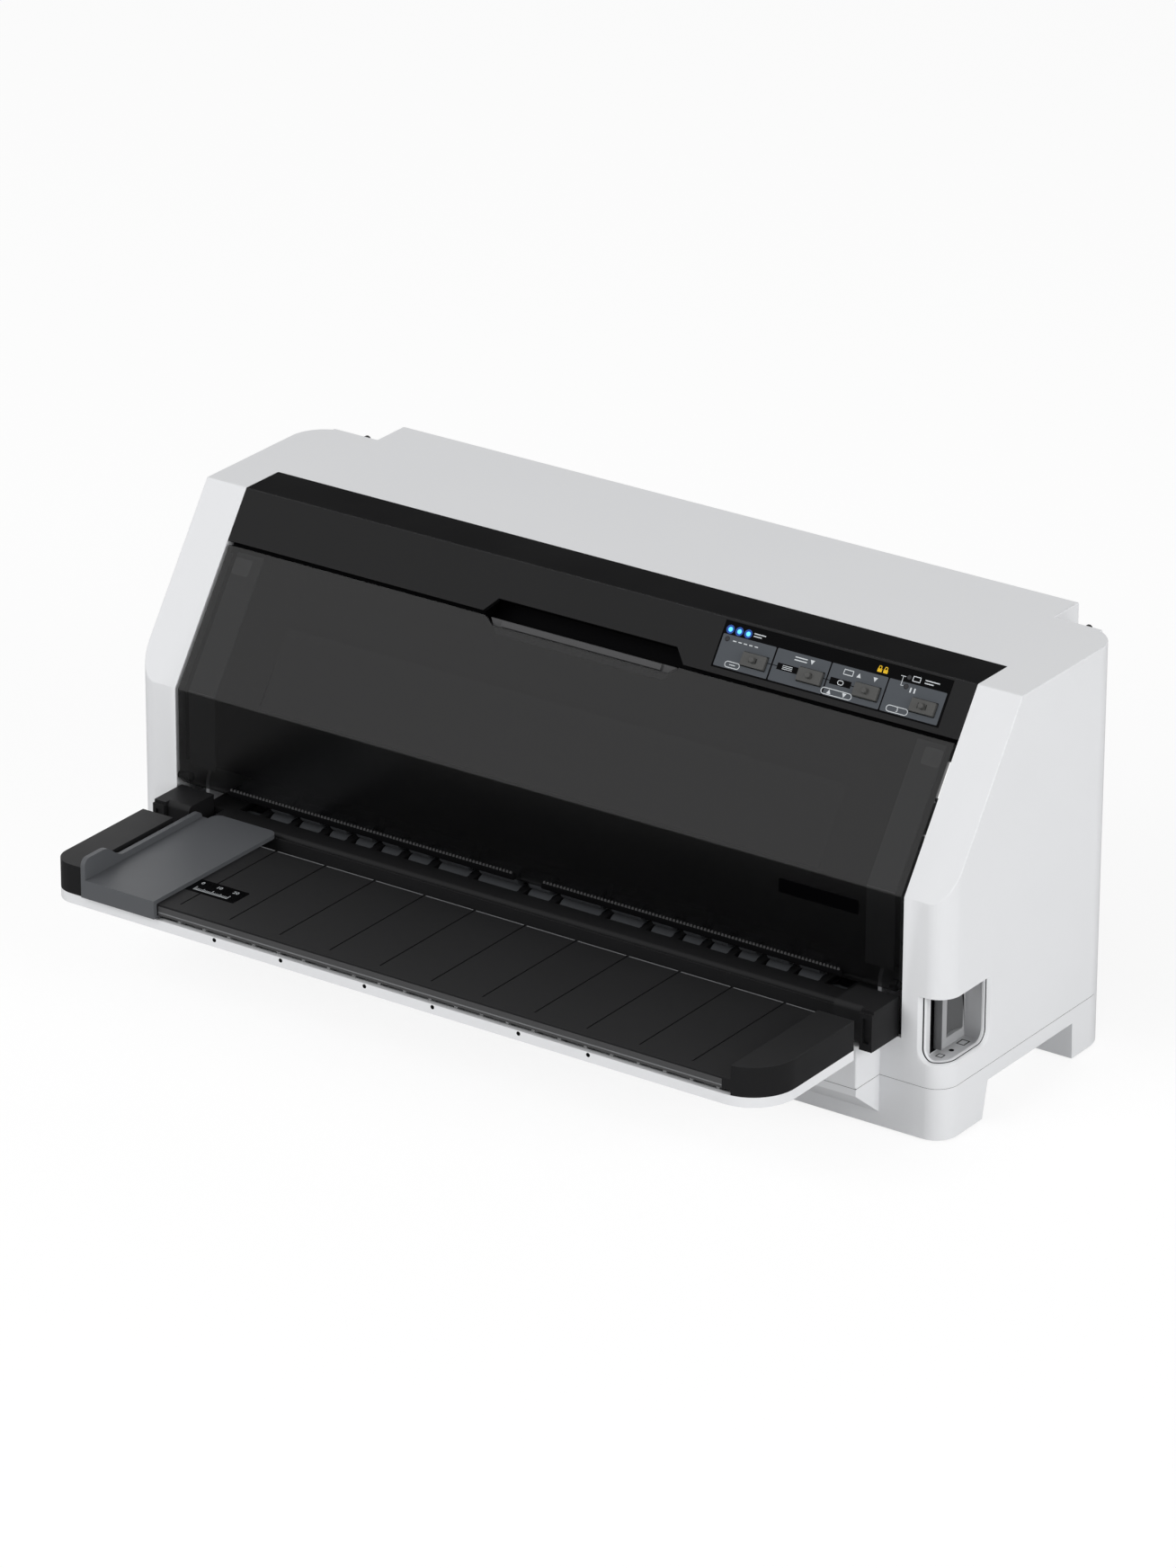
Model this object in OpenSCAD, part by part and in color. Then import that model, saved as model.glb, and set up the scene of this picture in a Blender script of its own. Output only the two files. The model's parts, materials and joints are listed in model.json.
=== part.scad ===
// Flatbed dot matrix printer with a front sheet table, a hinged smoked cover
// and a rear tractor unit. Millimetres, +Z up, +X to the operator's right.
// The origin is the bottom centre of the whole machine.

/* [Case] */
// Width over the two side pods
case_w = 480; // [440:1:576]
// Height of the flat top above the desk
case_h = 210; // [205:1:252]
// Depth from the table's front lip to the tractor's rear end
overall_d = 370; // [360:1:444]
// Width of the white band on each side of the black front
pod_w = 24.8; // [23:0.1:30]
// Horizontal run of the slanted front
slant_run = 60.6; // [54:0.1:64]
// Height that the slanted front drops from the flat top
slant_drop = 87.5; // [75:0.1:92]
// Length of the side pods from the front face to the rear wall
pod_l = 151.1; // [150:0.1:160]
// Length of the tail that overhangs the rear wall
tail_l = 22.5; // [12:0.1:26]
// Plan radius of the two front corners
front_r = 12; // [8:1:40]
// Plan radius of the two rear corners
rear_r = 20; // [12:1:30]
// Thickness of the moulded case walls
wall = 3; // [2.5:0.1:3.2]
// Height of the seam between lower and upper case
seam_z = 27.3; // [26:0.1:28]

/* [Sheet table] */
// Distance that the table stands out in front of the case
table_reach = 107.1; // [95:0.1:130]
// Height of the paper path above the desk
path_z = 63.6; // [62:0.1:70]
// Width of the table over its raised rims
table_w = 420.8; // [380:0.1:425]
// Distance that the edge guide stands out in front of the table
guide_lip = 2.8; // [1:0.1:6]
// Pitch of the shallow grooves in the table
groove_pitch = 30; // [24:1:40]

/* [Front cover] */
// Distance down the slant from the top crease to the cover's slot
slot_s = 28.9; // [27:0.1:34]
// Thickness of the smoked cover
cover_t = 2.4; // [2:0.1:2.6]
// Width of the handle notch at the slot
handle_w = 118; // [90:1:160]

/* [Controls] */
// Pitch of the four push buttons
button_pitch = 31.9; // [28:0.1:34]
// Width of a push button
button_w = 13.6; // [10:0.1:16]
// Travel of a push button
button_travel = 1.5; // [1:0.1:2]

/* [Mechanism] */
// Radius of the platen's rubber
platen_r = 11; // [10:0.1:11.5]
// Radius of the carriage's guide shaft
shaft_r = 6; // [5:0.1:7]
// Gap between a turning shaft and its bore, on the radius
run_gap = 0.05; // [0.02:0.01:0.09]
// Distance of the parked carriage left of the middle
park_x = 100; // [80:1:105]

/* [Hidden] */
$fn = 64;

// All y values below count from the case's front face, towards the rear.
face_y = -overall_d / 2 + table_reach + guide_lip;
half_w = case_w / 2;
window_x = half_w - pod_w;
frame_x = window_x - 14.7;
frame_t = 2;
bed_x = frame_x - frame_t;
rear_end = overall_d - table_reach - guide_lip;
tail_end = pod_l + tail_l;
tail_x = half_w - 39;
slant_a = atan2(slant_drop, slant_run);
knee_s = slant_run / cos(slant_a);
knee_z = case_h - slant_drop;
strip_end = slant_run + 26.3;
seam_gap = 0.3;
panel_t = 2.6;
shelf_z = 49.9;
apron_y = -20.4;
apron_x = window_x - 11.7;
apron_foot_z = 7.8;
tail_z = case_h - 60;
rear_sill_z = 56;
case_foot_z = 0.5;
floor_z = 4.5;
arch_z = 19.5;
arch_y0 = 38.6;
arch_y1 = 114.6;
arch_lean = 4.4;
arch_x = window_x;

cover_x = window_x - 1.6;
cover_bottom_z = path_z + 9.1;
cover_pin_y = 2.6;
cover_pin_z = path_z + 11.6;
cover_pin_r = 1.8;
cover_ear_r = 2.5;
cover_slot = 1.8;
grip_s = 4;

tray_z0 = shelf_z;
tray_z1 = tray_z0 + 5.2;
tongue_z = tray_z0 + 3;
table_t = 3;
rib_pitch = groove_pitch / 2;
table_lip_z = tray_z1 + 2.6;
rim_z = path_z + 7;
rim_left = table_w / 2 - 18.9;
rim_right = table_w / 2 - 20.4;
groove_n = floor((rim_right - 12) / groove_pitch - 0.5);
table_left_r = 12;
table_right_r = 24;
table_rim_end = -33.6;
table_end = -23.6;

plate_x0 = window_x - 141.4;
plate_x1 = window_x - 12.7;
plate_s0 = 1.5;
plate_s1 = 24.8;
button_s = 17.5;
button_h = 6.8;
button_x0 = window_x - 119.4;

platen_y = 68;
platen_z = path_z - platen_r + 0.1;
feed_r = 6.8;
feed_y = 13;
feed_z = path_z + 0.3 - feed_r;
pinch_r = 4.6;
pinch_z = feed_z + feed_r + 0.3 + pinch_r;
lever_y = 24;
lever_z = path_z + 24.4;
lever_shaft_r = 3;
rail_y = 36;
rail_top = path_z + 36.4;
shaft_y = 96;
shaft_z = path_z + 36.4;
belt_z = path_z + 36.4;
belt_y = 122;
belt_r = 6;
belt_t = 1.4;
motor_pulley_x = -(bed_x - 18.5);
idler_pulley_x = bed_x - 16.5;
head_x = -park_x;

teeth_platen = 40;
teeth_idler = 26;
teeth_roller = 20;
teeth_pinion = 14;
gear_x0 = -(frame_x + 5.5);
gear_x1 = -(frame_x + 1);
belt2_x0 = gear_x0 - 5.5;
belt2_r = 9;
tractor_y = rear_end - 35;
tractor_z = platen_z;
rod_y = rear_end - 63;
rod_z = platen_z - 8;
rod_r = 3;
tractor_left_x = -(window_x - 10.2);
tractor_right_x = 148;
cover2_y = rear_end - 83;
cover2_z = path_z + 48.4;
tractor_top = tractor_z + 8.4;

platen_c = [platen_y, platen_z];
feed_c = [feed_y, feed_z];
idler_c = meet(platen_c, feed_c, (teeth_platen + teeth_idler) / 2, (teeth_roller + teeth_idler) / 2);
pinion_c = platen_c + (teeth_platen + teeth_pinion) / 2 * [cos(75), sin(75)];

// Point at distance ra from a and rb from b, on the lower side of the line a to b.
function meet(a, b, ra, rb) =
  let (v = b - a, d = norm(v), along = (ra * ra - rb * rb + d * d) / (2 * d),
       off = sqrt(ra * ra - along * along), u = v / d)
  a + along * u + off * [-u[1], u[0]];
function bearing(a, b) = atan2(b[1] - a[1], b[0] - a[0]);
// Angle of a tooth on gear b that meshes with gear a, whose tooth lies at angle phase.
function mesh_phase(a, b, phase, na, nb) =
  bearing(a, b) + 180 + 180 / nb + na / nb * (bearing(a, b) - phase);
idler_phase = mesh_phase(platen_c, idler_c, 0, teeth_platen, teeth_idler);
roller_phase = mesh_phase(idler_c, feed_c, idler_phase, teeth_idler, teeth_roller);
pinion_phase = mesh_phase(platen_c, pinion_c, 0, teeth_platen, teeth_pinion);

// Point on the slanted front: s down from the crease, n outward from the surface.
function slant_pt(s, n) =
  [slant_run - s * cos(slant_a) - n * sin(slant_a), case_h - s * sin(slant_a) + n * cos(slant_a)];
// Distance down the slant where a line n outward reaches depth y.
function slant_s_at(y, n) = (slant_run - y - n * sin(slant_a)) / cos(slant_a);

module at_face() { translate([0, face_y, 0]) children(); }
module box(x0, x1, y0, y1, z0, z1) { translate([x0, y0, z0]) cube([x1 - x0, y1 - y0, z1 - z0]); }
// Extrudes a (y, z) outline along X.
module prism_x(x0, x1) {
  translate([x0, 0, 0]) rotate([90, 0, 90]) linear_extrude(x1 - x0) children();
}
module rod_x(r, x0, x1, y, z) { translate([x0, y, z]) rotate([0, 90, 0]) cylinder(r = r, h = x1 - x0); }
module rod_y(r, x, y0, y1, z) { translate([x, y1, z]) rotate([90, 0, 0]) cylinder(r = r, h = y1 - y0); }
module rod_z(r, x, y, z0, z1) { translate([x, y, z0]) cylinder(r = r, h = z1 - z0); }
module both_sides() { children(); mirror([1, 0, 0]) children(); }
// Local frame on the slanted front: X along the width, Y up the slant, Z outward.
module on_slant() { translate([0, slant_run, case_h]) rotate([slant_a, 0, 0]) children(); }

// Plan outline with two front and two rear corner radii.
module plan(w, y0, y1, rf, rr) {
  translate([-w / 2 + rf, y0]) square([w - 2 * rf, y1 - y0]);
  translate([-w / 2, y0 + rf]) square([w, y1 - y0 - rf - rr]);
  translate([-w / 2 + rr, y1 - rr - 1]) square([w - 2 * rr, rr + 1]);
  for (x = [-w / 2 + rf, w / 2 - rf]) translate([x, y0 + rf]) circle(rf);
  for (x = [-w / 2 + rr, w / 2 - rr]) translate([x, y1 - rr]) circle(rr);
}
// Solid case volume, inset by t on the sides, the slant and the top.
module case_block(t, z0) {
  intersection() {
    translate([0, 0, z0]) linear_extrude(case_h - t - z0)
      plan(case_w - 2 * t, t, pod_l - t, front_r - t, rear_r - t);
    prism_x(-half_w, half_w) polygon([[0, 0], [0, knee_z - t / 2], slant_pt(slant_s_at(t, -t), -t),
      slant_pt(t * tan(slant_a / 2), -t), [pod_l, case_h - t], [pod_l, 0]]);
  }
}
// Gear with straight-sided teeth of module 1, one tooth centred on angle phase.
module gear(teeth, phase, x0, x1, centre, bore) {
  pitch = 360 / teeth;
  root = teeth / 2 - 1.2;
  tip = teeth / 2 + 0.9;
  corners = [[-0.32, root], [-0.11, tip], [0.11, tip], [0.32, root]];
  prism_x(x0, x1) translate(centre) difference() {
    polygon([for (i = [0 : teeth - 1]) for (c = corners)
      c[1] * [cos(phase + (i + c[0]) * pitch), sin(phase + (i + c[0]) * pitch)]]);
    circle(bore);
  }
}
// Closed flat belt around two equal pulleys in a plane, drawn as a 2D outline.
module belt_outline(a, b, r, t) {
  difference() {
    union() {
      translate([a, -r - t]) square([b - a, 2 * (r + t)]);
      for (x = [a, b]) translate([x, 0]) circle(r + t);
    }
    translate([a, -r]) square([b - a, 2 * r]);
    for (x = [a, b]) translate([x, 0]) circle(r);
  }
}

screw_x = half_w - 12;
screw_ys = [24, pod_l - 17];
module at_screws() { for (x = [-screw_x, screw_x]) for (y = screw_ys) translate([x, y, 0]) children(); }
foot_x = half_w - 45;
foot_ys = [22, pod_l - 19];
post_x = half_w - 80;
inlet_x = tractor_right_x + 19;
switch_x = tail_x + 7;
port_x = -60;
board_z = 12;
board_t = 1.6;

module lower_case() {
  color("gainsboro") at_face() {
    difference() {
      translate([0, 0, case_foot_z]) linear_extrude(seam_z - case_foot_z)
        plan(case_w, 0, pod_l, front_r, rear_r);
      difference() {
        translate([0, 0, floor_z]) linear_extrude(seam_z)
          plan(case_w - 2 * wall, wall, pod_l - wall, front_r - wall, rear_r - wall);
        both_sides() box(arch_x - wall, half_w, arch_y0 - arch_lean - wall, arch_y1 + wall, 0, arch_z + wall);
      }
      both_sides() prism_x(arch_x, half_w + 1) polygon([[arch_y0 - arch_lean, 0], [arch_y0, arch_z],
        [arch_y1, arch_z], [arch_y1 + 0.5, 0]]);
      box(-apron_x + wall, apron_x - wall, -1, wall + 1, apron_foot_z + 3.7, seam_z + 1);
      box(port_x, port_x + 66, pod_l - 6, pod_l + 1, board_z + board_t, seam_z + 1);
      box(port_x - 26, port_x - 13, pod_l - 6, pod_l + 1, board_z + board_t, seam_z + 1);
      at_screws() translate([0, 0, -1]) cylinder(r = 3.8, h = floor_z + 2);
      for (x = [-foot_x, foot_x]) for (y = foot_ys) translate([x, y, 0]) cylinder(r = 8, h = 2.5);
    }
    at_screws() difference() {
      translate([0, 0, floor_z - 1]) cylinder(r = 5, h = seam_z - floor_z + 1);
      translate([0, 0, -1]) cylinder(r = 3.8, h = floor_z + 2);
      cylinder(r = 1.7, h = 60);
    }
    for (x = [-post_x, post_x]) for (y = [30, pod_l - 30])
      translate([x, y, floor_z]) cylinder(r = 4, h = 30 - floor_z);
    difference() {
      prism_x(-apron_x, apron_x) polygon([[apron_y, seam_z], [apron_y, seam_z - 3.7],
        [0, apron_foot_z], [wall, apron_foot_z], [wall, seam_z]]);
      prism_x(-apron_x + wall, apron_x - wall) polygon([[apron_y + wall, seam_z + 1],
        [apron_y + wall, seam_z - 1.8], [0, apron_foot_z + 3.7], [wall + 1, apron_foot_z + 3.7],
        [wall + 1, seam_z + 1]]);
    }
  }
}

module upper_case() {
  color("whitesmoke") at_face() difference() {
    union() {
      difference() {
        case_block(0, seam_z);
        case_block(wall, seam_z - 1);
        box(-window_x, window_x, -1, strip_end, shelf_z, case_h + 1);
        box(-apron_x + wall, apron_x - wall, -1, wall + 1, seam_z - 1, shelf_z - wall);
        box(-tail_x + wall, tail_x - wall, pod_l - wall - 1, pod_l + 1, rear_sill_z, case_h - wall);
      }
      intersection() {
        case_block(0, seam_z);
        both_sides() box(window_x, window_x + 2.5, 0, strip_end + wall, seam_z, case_h);
      }
      difference() {
        box(-tail_x, tail_x, pod_l - 1, tail_end, tail_z, case_h);
        box(-tail_x + wall, tail_x - wall, pod_l - 2, tail_end - wall, tail_z - 1, case_h - wall);
      }
      difference() {
        box(-apron_x, apron_x, apron_y, wall, seam_z, shelf_z);
        box(-apron_x + wall, apron_x - wall, apron_y + wall, wall + 1, seam_z - 1, shelf_z - wall);
      }
      at_screws() translate([0, 0, seam_z]) cylinder(r = 4.5, h = 8.5);
      both_sides() box(screw_x, half_w - 1, pod_l - 19, pod_l - 15, seam_z, seam_z + 8.5);
      both_sides() box(screw_x, half_w - 1, 22, 26, seam_z, seam_z + 8.5);
      for (side = [-1, 1]) rod_y(1.8, side * (half_w - 25.4), pod_l - 1, pod_l + 10.5, case_h - 6);
    }
    at_screws() translate([0, 0, seam_z - 1]) cylinder(r = 1.5, h = 8);
    both_sides() rod_x(cover_pin_r + run_gap, window_x - 1, window_x + 3, cover_pin_y, cover_pin_z);
    both_sides() rod_x(lever_shaft_r + 0.3, window_x - 1, window_x + 3, lever_y, lever_z);
    box(half_w - 16.1, half_w + 1, -1, 39.7, 39, 74);
    box(belt2_x0 - 1.5, belt2_x0 + 5.5, pod_l - 6, pod_l + 1, platen_z - belt2_r - 4, platen_z + belt2_r + 4);
    box(inlet_x - 11.2, inlet_x + 11.2, pod_l - 6, pod_l + 1, 33.8, 51.2);
    box(switch_x - 6.7, switch_x + 6.7, pod_l - 6, pod_l + 1, 32.3, 51.7);
    for (i = [0 : 15]) box(-90 + 10 * i, -85 + 10 * i, pod_l - 6, pod_l + 1, 32, 50);
  }
}

module top_panel() {
  s_end = slot_s - cover_slot / 2;
  inner_s = panel_t * tan(slant_a / 2);
  color([0.13, 0.13, 0.14]) at_face() difference() {
    prism_x(-window_x + seam_gap, window_x - seam_gap) polygon([[strip_end - seam_gap, case_h],
      [slant_run, case_h], slant_pt(s_end, 0), slant_pt(s_end, -panel_t), slant_pt(inner_s, -panel_t),
      [strip_end - seam_gap, case_h - panel_t]]);
    on_slant() {
      translate([0, 0, -panel_t - 1]) linear_extrude(panel_t + 2) polygon([[-handle_w / 2, -s_end - 1],
        [-handle_w / 2, -s_end], [-handle_w / 2 + 6.5, -s_end + 7.6], [handle_w / 2 - 6.5, -s_end + 7.6],
        [handle_w / 2, -s_end], [handle_w / 2, -s_end - 1]]);
      box(plate_x0 - 0.2, plate_x1 + 0.2, -plate_s1 - 0.2, -plate_s0 + 0.2, -1.2, 1);
      box(plate_x0 + 4, plate_x1 - 4, -plate_s1 + 2.5, -plate_s0 - 5, -panel_t - 1, 0);
      for (x = lens_xs) box(x - 1.5, x + 1.5, -7, -3.8, -panel_t - 1, 0);
      box(plate_x0 + 1.6, plate_x0 + 5, -12, -8, -panel_t - 1, 0);
    }
  }
}

lens_xs = [plate_x0 + 3.5, plate_x0 + 8.6, plate_x0 + 13.7];
warn_xs = [plate_x1 - 23.6];
lens_s = 5.4;
module at_button(i) { translate([button_x0 + i * button_pitch, -button_s, 0]) children(); }

module control_plate() {
  color([0.29, 0.31, 0.33]) at_face() on_slant() difference() {
    box(plate_x0, plate_x1, -plate_s1, -plate_s0, -1.2, -0.2);
    for (i = [0 : 3]) at_button(i)
      box(-button_w / 2 - 0.3, button_w / 2 + 0.3, -button_h / 2 - 0.3, button_h / 2 + 0.3, -2, 1);
    for (x = lens_xs) translate([x, -lens_s, -2]) cylinder(r = 1.25, h = 3);
    translate([plate_x0 + 3.6, -10.2, -2]) cylinder(r = 1.25, h = 3);
    for (x = warn_xs) for (s = [lens_s, 10]) translate([x, -s, -2]) cylinder(r = 1.25, h = 3);
  }
}

module indicator_lenses() {
  color([0.35, 0.6, 0.95]) at_face() on_slant() {
    for (x = lens_xs) translate([x, -lens_s, -6.8]) cylinder(r = 1.25, h = 6.7);
    translate([plate_x0 + 3.6, -10.2, -6.8]) cylinder(r = 1.25, h = 6.7);
    for (x = warn_xs) for (s = [lens_s, 10]) translate([x, -s, -1.2]) cylinder(r = 1.25, h = 1.1);
  }
}

module panel_board() {
  color([0.1, 0.35, 0.2]) at_face() on_slant() {
    difference() {
      box(plate_x0 + 1, plate_x1 - 1, -plate_s1 + 1, -plate_s0 - 1, -8.4, -6.8);
      for (i = [0 : 3]) at_button(i) translate([0, 0, -10]) cylinder(r = 0.6, h = 4);
    }
    for (i = [0 : 3]) at_button(i) box(-3, 3, -3, 3, -6.8, -3.9 - button_travel);
    for (x = [plate_x0 + 25, plate_x1 - 12]) translate([x, -5, -6.8]) cylinder(r = 1.8, h = 6.8 - panel_t);
  }
}

module rubber_feet() {
  color([0.2, 0.2, 0.2]) at_face()
    for (x = [-foot_x, foot_x]) for (y = foot_ys) translate([x, y, 0]) cylinder(r = 7.9, h = 2.5);
}

// Plan of the table, inset by t: a small left and a large right front corner.
module table_plan(t, y1) {
  x = table_w / 2 - t;
  y0 = t - table_reach;
  left = table_left_r - t;
  right = table_right_r - t;
  translate([left - x, y0]) square([2 * x - left - right, y1 - y0]);
  translate([-x, y0 + left]) square([x, y1 - y0 - left]);
  translate([0, y0 + right]) square([x, y1 - y0 - right]);
  translate([left - x, y0 + left]) circle(left);
  translate([x - right, y0 + right]) circle(right);
}

module table_tray() {
  rib_t = 1.8;
  rib_n = floor((rim_right - 8) / rib_pitch);
  color("gainsboro") at_face() {
    difference() {
      union() {
        translate([0, 0, tray_z0]) linear_extrude(tray_z1 - tray_z0)
          table_plan(0, table_rim_end);
        box(-apron_x + 5.5, apron_x - 5.5, table_rim_end - 1, -1, tray_z0, tongue_z);
      }
      translate([0, 0, tray_z0 + 2]) linear_extrude(10)
        table_plan(3, table_rim_end - 1.5);
      for (x = [20, 70, 110]) both_sides() rod_y(1, x, -table_reach - 1, -table_reach + 4, tray_z0 + 3.6);
    }
    for (i = [-rib_n : rib_n]) translate([i * rib_pitch, 0, 0])
      box(-rib_t / 2, rib_t / 2, -table_reach + 5, -table_reach + 13, tray_z0 + 2, path_z - table_t);
  }
}

module sheet_table() {
  t = table_t;
  color([0.15, 0.15, 0.16]) at_face() {
    difference() {
      translate([0, 0, tray_z1]) linear_extrude(rim_z - tray_z1)
        table_plan(0, table_rim_end);
      translate([0, 0, tray_z1 - 1]) linear_extrude(path_z - t - tray_z1 + 1)
        table_plan(t, table_rim_end + 1);
      box(-rim_left, rim_right, -table_reach - 1, table_rim_end + 1, path_z, rim_z + 1);
      box(-rim_left, rim_right, -table_reach - 1, -table_reach + t + 1, tray_z1 - 1, table_lip_z);
      box(rim_right + t, table_w / 2 - t, -table_reach + 22, table_rim_end + 1, tray_z1 - 1, rim_z - t);
      box(-table_w / 2 + t, -rim_left - t, -table_reach + 22, table_rim_end + 1, tray_z1 - 1, rim_z - t);
      for (i = [-groove_n : groove_n + 1]) translate([(i - 0.5) * groove_pitch, 0, 0])
        box(-0.4, 0.4, -table_reach + 6, table_end + 1, path_z - 0.5, path_z + 1);
    }
    difference() {
      box(-rim_left + 6, rim_right - 6, table_rim_end - 1, table_end, path_z - t, path_z);
      for (i = [-groove_n : groove_n + 1]) translate([(i - 0.5) * groove_pitch, 0, 0])
        box(-0.5, 0.5, table_rim_end - 2, table_end + 1, path_z - 0.6, path_z + 1);
    }
    for (i = [-2 : 2]) translate([i * (rim_right - 12) / 2, 0, 0])
      box(-1, 1, table_rim_end, table_end, tongue_z, path_z - t);
  }
}

// Bracket outside the apron with a lower block inside it that starts at inner_x.
module hinge_block(inner_x) {
  outer_x = window_x - 9.2;
  difference() {
    union() {
      box(outer_x, window_x - 2.2, -22.4, 1.2, shelf_z + 0.1, rim_z - 1.5);
      box(outer_x, window_x - 2.2, -20.9, 1.2, shelf_z, rim_z);
      box(inner_x, outer_x, -17, 0.5, tongue_z, rim_z);
      rod_x(3, inner_x, outer_x, -17, rim_z - 3);
      box(inner_x, outer_x, -20, -17, tongue_z, rim_z - 3);
    }
    box(window_x - 7.4, window_x - 4, -24, -21.2, shelf_z + 4, rim_z - 4);
  }
}
module hinge_block_left() { color([0.14, 0.14, 0.15]) at_face() mirror([1, 0, 0]) hinge_block(rim_left + 0.8); }
module hinge_block_right() { color([0.14, 0.14, 0.15]) at_face() hinge_block(apron_x - 13.6); }

// Half of the positions of the guide ribs between the feed roller's rubber rings.
rib_steps = [9.5, 29.8, 23.9, 18.3, 16.3, 15.9, 16, 18.5, 18];
function rib_x(i) = i < 0 ? 0 : rib_steps[i] + rib_x(i - 1);
rib_xs = [for (i = [0 : len(rib_steps) - 1]) rib_x(i)];

module paper_guide() {
  t = 3;
  color([0.12, 0.12, 0.13]) at_face() difference() {
    union() {
      box(-bed_x + 12, bed_x - 12, -4.2, 1.5, path_z - t, path_z);
      box(-bed_x, bed_x, 1.5, pod_l - wall - 0.5, path_z - t, path_z);
      box(-tail_x + wall + 0.5, tractor_right_x - 2.5, pod_l - wall - 1, pod_l + 18, path_z - t, path_z);
      prism_x(-bed_x + 12, bed_x - 12) {
        translate([-7.2 + t, path_z - 10]) square([t, 10]);
        translate([-7.2, path_z - 10]) square([t, 10 - t]);
        translate([-7.2 + t, path_z - t]) circle(t);
      }
      box(-bed_x + 12, bed_x - 12, -11.6, -10.6, path_z - 6, path_z - 0.1);
      box(-bed_x + 12, bed_x - 12, -11.6, -4.2, path_z - 10, path_z - 6);
      for (x = [-150, -50, 50, 150]) {
        box(x - 2, x + 2, -11.6, -7.2, tongue_z, path_z - 6);
        box(x - 2, x + 2, -7.2, -4.2, tongue_z, path_z - 9);
      }
    }
    for (i = [0 : len(rib_xs) - 1]) {
      x0 = rib_xs[i] + 2;
      x1 = (i < len(rib_xs) - 1 ? rib_xs[i + 1] : rib_xs[i] + 16) - 2;
      both_sides() box(x0, x1, 5.6, 20.4, path_z - t - 1, path_z + 1);
    }
    box(-rib_xs[0] + 2, rib_xs[0] - 2, 5.6, 20.4, path_z - t - 1, path_z + 1);
    box(-bed_x + 19, bed_x - 7, 59.5, 76.5, path_z - t - 1, path_z + 1);
    box(-bed_x - 1, -bed_x + 20, 55, 100, path_z - t - 1, path_z + 1);
  }
}

module lever_pocket() {
  color("white") at_face() difference() {
    intersection() {
      translate([0, 0, 36.2]) linear_extrude(46)
        plan(case_w - 2 * wall - 0.2, wall + 0.1, pod_l - wall, front_r - wall, rear_r);
      box(half_w - 19, half_w, 0, 43, 36, 79);
    }
    box(half_w - 16.6, half_w + 1, -1, 39.6, 38.4, 90);
  }
}

module chassis_plate() {
  color("silver") at_face() difference() {
    box(-bed_x, bed_x, 6, pod_l - 6, 30, 31.5);
    for (x = [-post_x, post_x]) for (y = [30, pod_l - 30]) translate([x, y, 20]) cylinder(r = 1.5, h = 20);
    for (x = [-120, -40, 60]) box(x, x + 40, 40, 100, 29, 33);
  }
}

// Side plate with its bearing holes; the outline is the same left and right.
module side_plate() {
  prism_x(bed_x, frame_x) difference() {
    polygon([[5, 30], [5, path_z + 12], [17, path_z + 34], [30, path_z + 46], [pod_l - 8, path_z + 46],
      [pod_l - 8, 30]]);
    translate([platen_y, platen_z]) circle(5);
    translate([feed_y, feed_z]) circle(3 + run_gap);
    translate([lever_y, lever_z]) circle(lever_shaft_r + run_gap);
    translate([shaft_y, shaft_z]) circle(shaft_r - 1);
  }
}
// Bush with a flange that carries the platen's shaft.
module platen_bush() {
  difference() {
    union() {
      rod_x(5, bed_x, frame_x, platen_y, platen_z);
      rod_x(6.5, bed_x - 1.5, bed_x, platen_y, platen_z);
    }
    rod_x(4 + run_gap, bed_x - 3, frame_x + 1, platen_y, platen_z);
  }
}
module left_side_frame() {
  color("lightsteelblue") at_face() difference() {
    union() {
      mirror([1, 0, 0]) side_plate();
      mirror([1, 0, 0]) platen_bush();
      box(-bed_x, motor_pulley_x + 20, belt_y - 20, belt_y + 20, belt_z + 8.5, belt_z + 10);
      rod_x(2.5, gear_x0 - 0.5, -bed_x, idler_c[0], idler_c[1]);
    }
    rod_z(6, motor_pulley_x, belt_y, belt_z, belt_z + 20);
    rod_x(9, -frame_x - 1, -bed_x + 1, pinion_c[0], pinion_c[1]);
  }
}
module right_side_frame() {
  color("lightsteelblue") at_face() {
    side_plate();
    platen_bush();
    box(idler_pulley_x - 10, bed_x, belt_y - 10, belt_y + 10, belt_z + 8.5, belt_z + 10);
    rod_z(2.5, idler_pulley_x, belt_y, belt_z - 5, belt_z + 8.5);
  }
}

module carriage_shaft() {
  color("silver") at_face() {
    rod_x(shaft_r, -bed_x, bed_x, shaft_y, shaft_z);
    rod_x(shaft_r - 1, -frame_x, frame_x, shaft_y, shaft_z);
  }
}

module head_rail() {
  color("silver") at_face() {
    box(-bed_x, bed_x, rail_y, rail_y + 2, rail_top - 22, rail_top);
    box(-bed_x, bed_x, rail_y + 2, rail_y + 10, rail_top - 22, rail_top - 20.5);
    for (x = [-bed_x, bed_x - 8]) box(x, x + 8, rail_y + 2, rail_y + 8, rail_top - 20.5, rail_top - 4);
  }
}

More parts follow.
